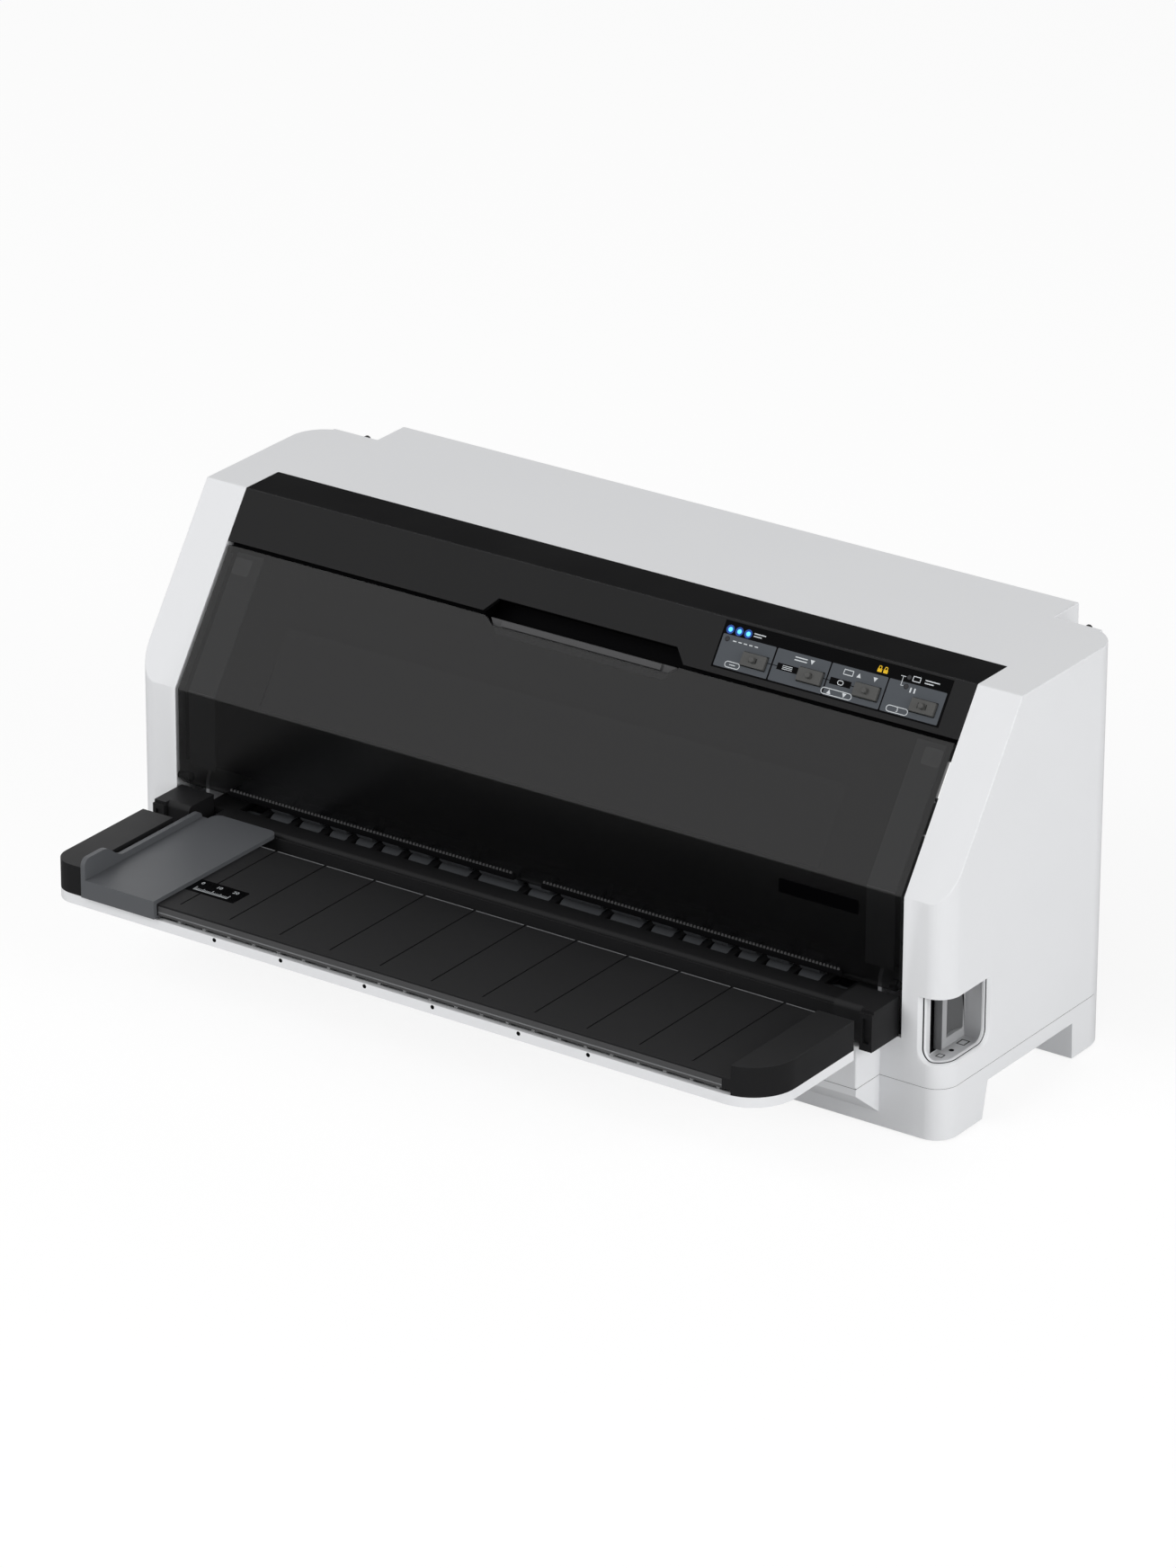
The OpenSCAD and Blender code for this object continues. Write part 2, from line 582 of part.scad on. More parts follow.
module carriage_motor() {
  color([0.25, 0.25, 0.27]) at_face() difference() {
    union() {
      rod_z(17.5, motor_pulley_x, belt_y, belt_z + 10, belt_z + 34);
      rod_z(5.5, motor_pulley_x, belt_y, belt_z + 8.5, belt_z + 10);
    }
    rod_z(2.5 + run_gap, motor_pulley_x, belt_y, belt_z, belt_z + 22);
  }
}
module timing_belt() {
  color([0.1, 0.1, 0.1]) at_face() translate([0, belt_y, belt_z - 3]) linear_extrude(6)
    belt_outline(motor_pulley_x, idler_pulley_x, belt_r, belt_t);
}
module belt_pulley() {
  cylinder(r = belt_r - 0.3, h = 8, center = true);
  for (z = [-4, 3.3]) translate([0, 0, z]) cylinder(r = 8, h = 0.7);
}
module motor_pulley() {
  color("goldenrod") at_face() translate([motor_pulley_x, belt_y, belt_z]) {
    belt_pulley();
    cylinder(r = 2.5, h = 21);
  }
}
module idler_pulley() {
  color("ivory") at_face() translate([idler_pulley_x, belt_y, belt_z]) difference() {
    belt_pulley();
    cylinder(r = 2.5 + run_gap, h = 20, center = true);
  }
}

module feed_motor() {
  color([0.25, 0.25, 0.27]) at_face() difference() {
    union() {
      rod_x(14, -bed_x, -bed_x + 20, pinion_c[0], pinion_c[1]);
      box(-bed_x, -bed_x + 1.5, pinion_c[0] - 19, pinion_c[0] + 19, pinion_c[1] - 8, pinion_c[1] + 8);
    }
    rod_x(2 + run_gap, -bed_x - 1, -bed_x + 12, pinion_c[0], pinion_c[1]);
  }
}
module feed_pinion() {
  color("goldenrod") at_face() {
    gear(teeth_pinion, pinion_phase, gear_x0, gear_x1, pinion_c, 2);
    rod_x(2, gear_x0, -bed_x + 11, pinion_c[0], pinion_c[1]);
  }
}

module main_board() {
  z = board_z + board_t;
  color([0.1, 0.35, 0.2]) at_face() {
    difference() {
      box(-185, 70, 14, pod_l - 6, board_z, z);
      for (y = [30, pod_l - 30]) translate([-post_x, y, 0]) cylinder(r = 4.5, h = 30);
    }
    for (x = [-180, -60, 60]) for (y = [20, pod_l - 12]) translate([x, y, floor_z]) cylinder(r = 2.5, h = board_z - floor_z);
    box(port_x + 0.3, port_x + 65.7, pod_l - 24, pod_l + 0.5, z, z + 12.5);
    box(port_x - 25.7, port_x - 13.3, pod_l - 20, pod_l + 0.5, z, z + 11);
    box(-150, -122, 50, 78, z, z + 2.5);
    box(-100, -84, 60, 76, z, z + 2);
    box(-60, -40, 40, 90, z, z + 3);
    for (i = [0 : 7]) box(-30 + 11 * i, -23 + 11 * i, 30, 34, z, z + 13);
    box(-32, 58, 34, 36, z, z + 15);
    for (i = [0 : 3]) translate([-170 + 12 * i, 110, z]) cylinder(r = 4, h = 13);
  }
}
module power_supply() {
  z = board_z + board_t;
  color([0.55, 0.4, 0.2]) at_face() {
    difference() {
      box(85, 190, 14, pod_l - 6, board_z, z);
      for (y = [30, pod_l - 30]) translate([post_x, y, 0]) cylinder(r = 4.5, h = 30);
    }
    for (x = [90, 185]) for (y = [20, pod_l - 12]) translate([x, y, floor_z]) cylinder(r = 2.5, h = board_z - floor_z);
    box(110, 145, 60, 92, z, z + 15);
    for (x = [160, 178]) translate([x, 60, z]) cylinder(r = 7.5, h = 15);
    box(92, 95, 30, 120, z, z + 14);
    box(150, 185, 92, 110, z, z + 14);
    translate([120, 35, z]) cylinder(r = 8, h = 14);
  }
}
module ac_inlet() {
  color([0.1, 0.1, 0.1]) at_face() difference() {
    union() {
      box(inlet_x - 14, inlet_x + 14, pod_l, pod_l + 2, 31, 54);
      box(inlet_x - 11, inlet_x + 11, pod_l - 22, pod_l, 34, 51);
    }
    box(inlet_x - 9, inlet_x + 9, pod_l - 18, pod_l + 3, 36.5, 48.5);
  }
  color("silver") at_face() for (x = [-6, 0, 6])
    box(inlet_x + x - 1, inlet_x + x + 1, pod_l - 20, pod_l - 3, 40 + (x == 0 ? 2 : 0), 44 + (x == 0 ? 2 : 0));
}
rocker_z = 42;
module power_switch() {
  color([0.1, 0.1, 0.1]) at_face() difference() {
    union() {
      box(switch_x - 8, switch_x + 8, pod_l, pod_l + 1.5, 30.5, 53.5);
      box(switch_x - 6.5, switch_x + 6.5, pod_l - 16, pod_l, 32.5, 51.5);
    }
    box(switch_x - 5, switch_x + 5, pod_l - 12, pod_l + 2, 33.5, 50.5);
    rod_x(1.5 + run_gap, switch_x - 6, switch_x + 6, pod_l - 2.5, rocker_z);
  }
}
module power_rocker() {
  color([0.2, 0.2, 0.2]) at_face() {
    prism_x(switch_x - 4.6, switch_x + 4.6) translate([pod_l - 2.5, rocker_z]) rotate(-8) difference() {
      polygon([[-3, -5], [4.2, -7.6], [3.2, 0], [4.2, 7.6], [-3, 5]]);
      circle(0.5);
    }
    rod_x(1.5, switch_x - 5.8, switch_x + 5.8, pod_l - 2.5, rocker_z);
  }
}

module tractor_plate(x0, x1) {
  prism_x(x0, x1) difference() {
    polygon([[pod_l, 31], [rear_end, 31], [rear_end, path_z + 14], [cover2_y + 9, cover2_z + 7],
      [cover2_y - 9, cover2_z + 7], [pod_l + 8, path_z - 8], [pod_l, path_z - 8]]);
    translate([tractor_y, tractor_z]) circle(3 + run_gap);
    translate([rod_y, rod_z]) circle(rod_r);
    translate([cover2_y, cover2_z]) circle(2.5 + run_gap);
  }
}
module tractor_frame() {
  color([0.14, 0.14, 0.15]) at_face() {
    tractor_plate(tractor_left_x, tractor_left_x + 2);
    tractor_plate(tractor_right_x - 2, tractor_right_x);
    box(tractor_left_x, tractor_right_x, pod_l, rear_end, 29, 31);
    box(tractor_left_x + 2, tractor_right_x - 2, rear_end - 2, rear_end, 31, 42);
  }
}
module tractor_rod() {
  color("silver") at_face() rod_x(rod_r, tractor_left_x, tractor_right_x, rod_y, rod_z);
}
module tractor_belt() {
  color([0.1, 0.1, 0.1]) at_face() translate([belt2_x0, platen_y, platen_z]) rotate([90, 0, 90]) linear_extrude(4)
    belt_outline(0, tractor_y - platen_y, belt2_r + 0.3, belt_t);
}
module case_screws() {
  color("silver") at_face() at_screws() {
    translate([0, 0, floor_z - 0.5]) cylinder(r = 3.4, h = 1.5);
    translate([0, 0, floor_z + 1]) cylinder(r = 1.5, h = seam_z + 1.5);
  }
}

module front_cover() {
  t = cover_t;
  s0 = slot_s + cover_slot / 2;
  inner_knee = slant_pt(slant_s_at(t, -t), -t);
  color([0.2, 0.2, 0.21, 0.85]) at_face() {
    difference() {
      union() {
        prism_x(-cover_x, cover_x) polygon([slant_pt(s0, 0), [0, knee_z], [0, cover_bottom_z],
          [t, cover_bottom_z], inner_knee, slant_pt(s0, -t)]);
        both_sides() rod_x(cover_ear_r, cover_x - 6, cover_x, cover_pin_y, cover_pin_z);
      }
      on_slant() translate([0, 0, -t - 1]) linear_extrude(t + 2) polygon([[-handle_w / 2 + 2, -s0 + 1],
        [-handle_w / 2 + 2, -s0], [-handle_w / 2 + 8, -s0 - grip_s], [handle_w / 2 - 8, -s0 - grip_s],
        [handle_w / 2 - 2, -s0], [handle_w / 2 - 2, -s0 + 1]]);
      both_sides() translate([cover_x, 0, cover_bottom_z]) rotate([0, 45, 0]) cube([3, 30, 3], center = true);
    }
    both_sides() {
      rod_x(cover_pin_r, cover_x - 4, window_x + 2.4, cover_pin_y, cover_pin_z);
      on_slant() box(cover_x - 16, cover_x - 4, -s0 - 14, -s0 - 4, -t - 2, -t);
    }
    for (x = [-182, 8]) box(x, x + 174, -1.2, 0, cover_bottom_z, cover_bottom_z + 3.9);
  }
}
module cover_handle() {
  t = cover_t;
  s0 = slot_s + cover_slot / 2;
  color([0.36, 0.36, 0.37]) at_face() on_slant() {
    translate([0, 0, -t - 1.5]) linear_extrude(1.5)
      polygon([[-handle_w / 2 + 4, -s0], [-handle_w / 2 + 10, -s0 - grip_s - 4],
        [handle_w / 2 - 10, -s0 - grip_s - 4], [handle_w / 2 - 4, -s0]]);
    box(-handle_w / 2 + 12, handle_w / 2 - 12, -s0 - grip_s + 0.4, -s0 - 0.4, -t, -0.8);
  }
}

module push_button(i) {
  color([0.23, 0.22, 0.21]) at_face() on_slant() at_button(i) {
    box(-button_w / 2, button_w / 2, -button_h / 2, button_h / 2, -3, 1.7);
    cylinder(r = 1.5, h = 7.6, center = true);
  }
}
module tear_off_button() { push_button(0); }
module line_feed_button() { push_button(1); }
module load_button() { push_button(2); }
module pause_button() { push_button(3); }

module release_lever() {
  x0 = half_w - 16;
  x1 = half_w - 11.5;
  color("dimgray") at_face() difference() {
    union() {
      box(x0, x1, lever_y - 9.5, lever_y + 11, 41, 70);
      prism_x(x0, x1) polygon([[lever_y - 9.5, 70], [lever_y - 7.5, 75], [lever_y - 6, lever_z],
        [lever_y + 6, lever_z], [lever_y + 11, 70]]);
      rod_x(8, window_x + 4, x1, lever_y, lever_z);
    }
    rod_x(lever_shaft_r, window_x, x1 + 1, lever_y, lever_z);
    translate([x1 + 9, lever_y + 2, 46]) cylinder(r = 11.5, h = 30);
  }
}
module release_shaft() {
  color("silver") at_face() rod_x(lever_shaft_r, -frame_x - 1, half_w - 11.5, lever_y, lever_z);
}
arm_xs = [for (x = [rib_xs[1], rib_xs[4], rib_xs[7]]) each [-x, x]];
module pinch_arms() {
  color([0.3, 0.3, 0.32]) at_face() for (x = arm_xs) prism_x(x - 1.4, x + 1.4) difference() {
    union() {
      translate([lever_y, lever_z]) circle(5.5);
      translate([feed_y, pinch_z]) circle(3.6);
      polygon([[lever_y - 5.4, lever_z], [feed_y - 3.6, pinch_z], [feed_y + 3.6, pinch_z],
        [lever_y + 5.4, lever_z]]);
    }
    translate([lever_y, lever_z]) circle(lever_shaft_r);
    translate([feed_y, pinch_z]) circle(2 + run_gap);
  }
}
module roller_rings(r, inset) {
  for (i = [0 : len(rib_xs) - 2]) both_sides()
    rod_x(r, rib_xs[i] + inset, rib_xs[i + 1] - inset, 0, 0);
  rod_x(r, -rib_xs[0] + inset, rib_xs[0] - inset, 0, 0);
}
module pinch_rollers() {
  color("gray") at_face() translate([0, feed_y, pinch_z]) {
    rod_x(2, -rib_xs[8] - 4, rib_xs[8] + 4, 0, 0);
    roller_rings(pinch_r, 3.2);
  }
}
module front_feed_roller() {
  color("gray") at_face() {
    translate([0, feed_y, feed_z]) {
      rod_x(3, gear_x0, frame_x + 2, 0, 0);
      roller_rings(feed_r, 3);
    }
    gear(teeth_roller, roller_phase, gear_x0, gear_x1, feed_c, 2.9);
  }
}
module feed_idler_gear() {
  color("ivory") at_face()
    gear(teeth_idler, idler_phase, gear_x0, gear_x1, idler_c, 2.5 + run_gap);
}
module platen() {
  color([0.12, 0.12, 0.12]) at_face() translate([0, platen_y, platen_z]) {
    rod_x(platen_r, -bed_x + 21, bed_x - 9, 0, 0);
    rod_x(4, belt2_x0 - 0.5, frame_x + 4, 0, 0);
  }
}
module platen_gear() {
  color("ivory") at_face() {
    gear(teeth_platen, 0, gear_x0, gear_x1, platen_c, 4);
    translate([0, platen_y, platen_z]) difference() {
      union() {
        rod_x(belt2_r, belt2_x0 - 0.4, belt2_x0 + 4.4, 0, 0);
        rod_x(6, belt2_x0, gear_x0, 0, 0);
      }
      rod_x(4, belt2_x0 - 2, gear_x1 + 2, 0, 0);
    }
  }
}

module edge_guide() {
  x0 = 2.1 - rim_left;
  x1 = x0 + 44.8;
  y0 = -table_reach - guide_lip;
  foot_z = tray_z1 + 1.2;
  z0 = path_z + 0.1;
  lip_z = z0 + 5.6;
  tab_z = z0 + 13.2;
  color([0.35, 0.36, 0.37]) at_face() {
    translate([0, 0, z0]) linear_extrude(2.2) {
      plan_round(x0 + 6, x1, y0, -9.5, 5);
      plan_round(x0, x1 - 12, y0, -16, 2);
      translate([x0, y0]) square([x1 - x0, 10]);
    }
    box(x0, x1, y0, y0 + 2.5, foot_z, z0 + 1);
    box(x0, x1, y0, -table_reach + 3.6, foot_z, foot_z + 1.1);
    prism_x(x0, x0 + 2.6) polygon([[y0, z0],
      for (a = [180 : -15 : 90]) [y0 + 4 + 4 * cos(a), tab_z - 4 + 4 * sin(a)],
      for (i = [0 : 12]) [y0 + 15 + i * 1.3, lip_z + (tab_z - lip_z) * (1 + cos(i * 15)) / 2],
      for (a = [90 : -15 : 0]) [4 * cos(a) - 20, lip_z - 4 + 4 * sin(a)],
      [-16, z0]]);
  }
}
module plan_round(x0, x1, y0, y1, r) {
  translate([x0 + r, y0]) square([x1 - x0 - 2 * r, y1 - y0]);
  translate([x0, y0 + r]) square([x1 - x0, y1 - y0 - 2 * r]);
  for (x = [x0 + r, x1 - r]) for (y = [y0 + r, y1 - r]) translate([x, y]) circle(r);
}

module carriage() {
  z0 = shaft_z - 16;
  z1 = shaft_z + 8;
  color([0.16, 0.16, 0.17]) at_face() translate([head_x, 0, 0]) difference() {
    union() {
      box(-32, 32, 44, shaft_y + 9, z0, z1);
      box(-24, 24, rail_y - 3, 45, z1 - 13, z1);
      box(-10, 10, shaft_y + 8, belt_y - 3.5, z1 - 4, z1);
      box(-10, 10, shaft_y + 8, belt_y - 7.7, z0 + 8, z1 - 3);
      box(-10, 10, belt_y - 5.7, belt_y - 3.5, z0 + 10, z1 - 3);
    }
    rod_x(shaft_r + run_gap, -40, 40, shaft_y, shaft_z);
    box(-25, 25, rail_y - 0.3, rail_y + 2.3, z0, rail_top + 0.3);
    box(-17, 17, 54, 83, z0 - 1, z1 + 1);
  }
}
module print_head() {
  z0 = path_z + 2.7;
  color([0.2, 0.2, 0.21]) at_face() translate([head_x, 0, 0]) {
    box(-4, 4, 62, 74, z0, z0 + 12);
    box(-16, 16, 56, 81, z0 + 12, shaft_z + 8);
    box(-17, 17, 54, 83, shaft_z + 2, shaft_z + 5);
    for (i = [0 : 5]) box(-16, 16, 56 + 4.6 * i, 58 + 4.6 * i, shaft_z + 8, shaft_z + 18);
  }
}
module ribbon_cartridge() {
  z = shaft_z + 8;
  color([0.1, 0.1, 0.11]) at_face() translate([head_x, 0, 0]) {
    difference() {
      box(-58, 58, 20, 52, z, z + 13);
      rod_z(4 + run_gap, -40, 36, z + 6, z + 14);
    }
    both_sides() {
      box(34, 38, 50, 76, z, z + 4);
      box(34, 38, 60, 76, path_z + 1.4, z + 1);
    }
    box(-36, 36, 62.5, 73.5, path_z + 1.6, path_z + 1.9);
  }
}
module ribbon_knob() {
  z = shaft_z + 14;
  color([0.25, 0.25, 0.26]) at_face() translate([head_x - 40, 36, z]) {
    cylinder(r = 4, h = 8);
    translate([0, 0, 8]) cylinder(r = 9, h = 5, $fn = 12);
    translate([0, 0, 7.3]) cylinder(r = 9, h = 1);
  }
}

module rear_cover() {
  x0 = tractor_left_x + 3;
  x1 = tractor_right_x - 3;
  color([0.15, 0.15, 0.16]) at_face() {
    prism_x(x0, x1) polygon([[cover2_y, cover2_z + 5], [cover2_y, cover2_z + 2.4],
      [rear_end - 2, path_z + 18], [rear_end - 2, path_z + 20.6]]);
    rod_x(5, x0, x1, cover2_y, cover2_z);
    rod_x(2.5, x0 - 2.6, x1 + 2.6, cover2_y, cover2_z);
  }
}
module tractor_shaft() {
  r = 3.5;
  color("silver") at_face() translate([0, tractor_y, tractor_z]) {
    box(tractor_left_x + 2.5, tractor_right_x - 2.5, -r, r, -r, r);
    rod_x(3, belt2_x0 - 0.5, tractor_right_x + 2, 0, 0);
    rod_x(belt2_r, belt2_x0 - 0.4, belt2_x0 + 4.4, 0, 0);
  }
}
// Tractor body, drawn with its sprocket slot centred on x = 0 and its hinge on the left.
module tractor_body() {
  difference() {
    box(-14, 9, rod_y - 9, tractor_y + 20, tractor_z - 13, tractor_top);
    rod_x(rod_r + run_gap, -20, 20, rod_y, rod_z);
    rod_x(5.4, -20, 20, tractor_y, tractor_z);
    rod_x(13.5, -3.5, 3.5, tractor_y, tractor_z);
  }
  difference() {
    for (y = [rod_y - 8, tractor_y + 15]) box(-14, -9, y, y + 4, tractor_top - 1, tractor_top + 7);
    rod_y(1.5 + run_gap, -11.5, rod_y - 10, tractor_y + 25, tractor_top + 4);
  }
}
module tractor_door() {
  difference() {
    union() {
      box(-11.5, 6, rod_y - 3.5, tractor_y + 14.5, tractor_top + 4.6, tractor_top + 6.6);
      rod_y(2.6, -11.5, rod_y - 3.5, tractor_y + 14.5, tractor_top + 4);
      rod_y(1.5, -11.5, rod_y - 7, tractor_y + 18, tractor_top + 4);
    }
    box(-3, 3, tractor_y - 13, tractor_y + 13, tractor_top, tractor_top + 10);
  }
}
module sprocket() {
  pins = 8;
  difference() {
    union() {
      rod_x(10, -2.5, 2.5, 0, 0);
      for (i = [0 : pins - 1]) rotate([360 / pins * i, 0, 0]) translate([0, 0, 9]) cylinder(r = 1.7, h = 3.2);
    }
    box(-4, 4, -3.5 - run_gap, 3.5 + run_gap, -3.5 - run_gap, 3.5 + run_gap);
  }
}
left_tr_x = -146;
right_tr_x = 108;
module left_tractor() { color([0.25, 0.3, 0.4]) at_face() translate([left_tr_x, 0, 0]) tractor_body(); }
module right_tractor() {
  color([0.25, 0.3, 0.4]) at_face() translate([right_tr_x, 0, 0]) mirror([1, 0, 0]) tractor_body();
}
module left_sprocket() {
  color("ivory") at_face() translate([left_tr_x, tractor_y, tractor_z]) sprocket();
}
module right_sprocket() {
  color("ivory") at_face() translate([right_tr_x, tractor_y, tractor_z]) sprocket();
}
module left_tractor_door() { color([0.3, 0.35, 0.45]) at_face() translate([left_tr_x, 0, 0]) tractor_door(); }
module right_tractor_door() {
  color([0.3, 0.35, 0.45]) at_face() translate([right_tr_x, 0, 0]) mirror([1, 0, 0]) tractor_door();
}

lower_case();
upper_case();
top_panel();
control_plate();
indicator_lenses();
panel_board();
rubber_feet();
table_tray();
sheet_table();
hinge_block_left();
hinge_block_right();
paper_guide();
lever_pocket();
chassis_plate();
left_side_frame();
right_side_frame();
carriage_shaft();
head_rail();
carriage_motor();
timing_belt();
feed_motor();
main_board();
power_supply();
ac_inlet();
power_switch();
tractor_frame();
tractor_rod();
tractor_belt();
case_screws();
front_cover();
cover_handle();
tear_off_button();
line_feed_button();
load_button();
pause_button();
release_lever();
release_shaft();
pinch_arms();
pinch_rollers();
edge_guide();
carriage();
print_head();
ribbon_cartridge();
ribbon_knob();
motor_pulley();
idler_pulley();
platen();
platen_gear();
front_feed_roller();
feed_idler_gear();
feed_pinion();
power_rocker();
rear_cover();
tractor_shaft();
left_tractor();
right_tractor();
left_sprocket();
right_sprocket();
left_tractor_door();
right_tractor_door();
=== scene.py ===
import json
import math

import bmesh
import bpy
from mathutils import Matrix, Vector

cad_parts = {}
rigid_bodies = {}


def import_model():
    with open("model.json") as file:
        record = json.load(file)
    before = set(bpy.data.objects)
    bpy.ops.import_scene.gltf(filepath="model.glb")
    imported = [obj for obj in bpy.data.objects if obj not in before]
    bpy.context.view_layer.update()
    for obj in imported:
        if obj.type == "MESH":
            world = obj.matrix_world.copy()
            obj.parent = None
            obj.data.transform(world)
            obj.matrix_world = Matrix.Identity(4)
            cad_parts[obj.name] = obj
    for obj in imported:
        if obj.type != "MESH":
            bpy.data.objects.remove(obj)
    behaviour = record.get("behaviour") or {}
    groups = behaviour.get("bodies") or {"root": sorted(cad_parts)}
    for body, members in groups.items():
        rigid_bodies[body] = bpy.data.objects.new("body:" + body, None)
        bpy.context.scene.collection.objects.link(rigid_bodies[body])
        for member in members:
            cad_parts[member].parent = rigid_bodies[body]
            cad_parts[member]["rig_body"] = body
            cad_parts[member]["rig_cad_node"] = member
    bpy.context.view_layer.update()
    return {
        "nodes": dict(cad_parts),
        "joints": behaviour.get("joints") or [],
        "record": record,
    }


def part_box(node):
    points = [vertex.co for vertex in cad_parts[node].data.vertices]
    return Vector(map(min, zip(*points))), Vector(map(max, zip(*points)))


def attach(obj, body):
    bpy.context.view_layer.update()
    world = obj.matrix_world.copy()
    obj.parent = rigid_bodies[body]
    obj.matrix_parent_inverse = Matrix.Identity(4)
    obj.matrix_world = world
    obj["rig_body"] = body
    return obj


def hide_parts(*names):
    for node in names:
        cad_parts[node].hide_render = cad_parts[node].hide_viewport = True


bl_info = {
    "name": "Flatbed Printer Builder",
    "version": (1, 0, 0),
    "blender": (4, 5, 0),
    "location": "View3D > Sidebar > Printer",
    "description": "Builds a flatbed dot matrix printer around its packed frame",
    "category": "Object",
}

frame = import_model()
NODES = frame["nodes"]
MM = 0.001


def joint_at(name):
    """Position of a joint in millimetres."""
    joint = next(j for j in frame["joints"] if j["name"] == name)
    return Vector(joint["pos_m"]) / MM


# Sizes in mm, taken from the frame where it has them. The case's front face is the plane that
# outlines are measured from, towards the rear.
TABLE = [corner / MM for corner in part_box("sheet_table")]
FACE_Y = TABLE[0].y + 107.1
CASE = [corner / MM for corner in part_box("upper_case")]
CASE_TOP = CASE[1].z
HALF_W = CASE[1].x
SEAM_Z = CASE[0].z
# Depth of the white pods beside the cover, and the rounding of their upright front corners.
POD_DEPTH = 151.1
FRONT_R = 12.0
# The opening between the pods, and the black strip and slanted front that fill it.
PANEL = [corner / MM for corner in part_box("top_panel")]
WINDOW_X = PANEL[1].x + 0.3
STRIP_END = PANEL[1].y - FACE_Y + 0.3
SLANT_RUN = STRIP_END - 26.3
SLANT_DROP = 87.5
KNEE_Z = CASE_TOP - SLANT_DROP
SLANT = math.atan2(SLANT_DROP, SLANT_RUN)
# The table: the face that sheets slide on, its front and rear edges and its grooves.
PATH_Z = TABLE[1].z - 7.0
TABLE_FRONT = TABLE[0].y - FACE_Y
TABLE_END = -23.6
GROOVES = 5
GROOVE_PITCH = 30.0
# The front cover: half width, lower edge, wall, and the slot above it, measured down the slant.
COVER_PIN = joint_at("cover_hinge")
COVER_X = WINDOW_X - 1.6
COVER_BOTTOM = PATH_Z + 9.1
COVER_T = 2.4
SLOT_S = 28.9
# The control overlay's ends, and the first button, the step between them and their row.
PLATE_X0 = WINDOW_X - 141.4
PLATE_X1 = WINDOW_X - 12.7
BUTTON_X0 = WINDOW_X - 119.4
BUTTON_PITCH = 31.9
BUTTON_S = 17.5
# Lower and upper face of a printed sign above its ground, and the height of a printed figure.
PRINT = (0.04, 0.1)
FIGURE_HEIGHT = 0.05
# The camera that was fitted to the photograph, in metres and degrees.
CAMERA_AT = Vector((2.0079, -2.9072, 1.6571))
CAMERA_AIM = Vector((-0.0126, -0.0071, 0.0979))
CAMERA_LENS = 180.86
CAMERA_ROLL = 0.225
# Numbers of a Mix node's two colour inputs and its colour output, whose names are not unique.
MIX_A, MIX_B, MIX_OUT = 6, 7, 2


# ---------------------------------------------------------------- modelling helpers

def deselect_all():
    """Leaves edit mode and selects nothing, because an operator acts on all that is selected."""
    if bpy.context.object and bpy.context.object.mode != "OBJECT":
        bpy.ops.object.mode_set(mode="OBJECT")
    bpy.ops.object.select_all(action="DESELECT")


def activate(piece):
    """Makes one piece the only selected and the active one."""
    deselect_all()
    piece.select_set(True)
    bpy.context.view_layer.objects.active = piece


class editing:
    """Edit mode on one piece, with nothing selected; gives its bmesh for selecting in code."""

    def __init__(self, piece, mode="FACE"):
        self.piece, self.mode = piece, mode

    def __enter__(self):
        activate(self.piece)
        bpy.ops.object.mode_set(mode="EDIT")
        bpy.ops.mesh.select_mode(type=self.mode)
        bpy.ops.mesh.select_all(action="DESELECT")
        return bmesh.from_edit_mesh(self.piece.data)

    def __exit__(self, *_):
        bpy.ops.object.mode_set(mode="OBJECT")


def slant_matrix():
    """From (x, -s, n), s down the slanted front and n outwards, to the shared frame, in mm."""
    return Matrix.Translation((0, FACE_Y + SLANT_RUN, CASE_TOP)) @ Matrix.Rotation(SLANT, 4, "X")


PLACES = {
    # From an outline's pair (u, v) and a height h to a point in mm, in the shared frame.
    "x": lambda u, v, h: Vector((h, u + FACE_Y, v)),
    "y": lambda u, v, h: Vector((u, h + FACE_Y, v)),
    "z": lambda u, v, h: Vector((u, v + FACE_Y, h)),
    "slant": lambda u, v, h: slant_matrix() @ Vector((u, -v, h)),
}


def extruded(name, outline, along, start, end):
    """A closed outline, in mm, extruded along an axis or outwards from the slanted front."""
    place = PLACES[along]
    deselect_all()
    bpy.ops.mesh.primitive_circle_add(vertices=len(outline), radius=1, fill_type="NGON")
    piece = bpy.context.object
    piece.name = name
    for vertex, (u, v) in zip(piece.data.vertices, outline):
        vertex.co = place(u, v, start) * MM
    shift = (place(0, 0, end) - place(0, 0, start)) * MM
    with editing(piece):
        bpy.ops.mesh.select_all(action="SELECT")
        bpy.ops.mesh.extrude_region_move(TRANSFORM_OT_translate={"value": shift})
        bpy.ops.mesh.select_all(action="SELECT")
        bpy.ops.mesh.normals_make_consistent(inside=False)
    return piece


def rectangle(u0, u1, v0, v1):
    """Outline of a rectangle."""
    return [(u0, v0), (u1, v0), (u1, v1), (u0, v1)]


def rounded_rectangle(u0, u1, v0, v1, r, steps=5):
    """Outline of a rectangle with corners of radius r."""
    centres = ((u1 - r, v1 - r, 0), (u0 + r, v1 - r, 90), (u0 + r, v0 + r, 180), (u1 - r, v0 + r, 270))
    points = []
    for cu, cv, start in centres:
        for i in range(steps + 1):
            a = math.radians(start + 90 * i / steps)
            points.append((cu + r * math.cos(a), cv + r * math.sin(a)))
    return points


def circle_points(u, v, r, steps=24):
    """Outline of a circle."""
    turn = 2 * math.pi / steps
    return [(u + r * math.cos(i * turn), v + r * math.sin(i * turn)) for i in range(steps)]


def slant_point(s, n):
    """(y, z) of a point s down the slanted front and n outwards."""
    cos_a, sin_a = math.cos(SLANT), math.sin(SLANT)
    return (SLANT_RUN - s * cos_a - n * sin_a, CASE_TOP - s * sin_a + n * cos_a)


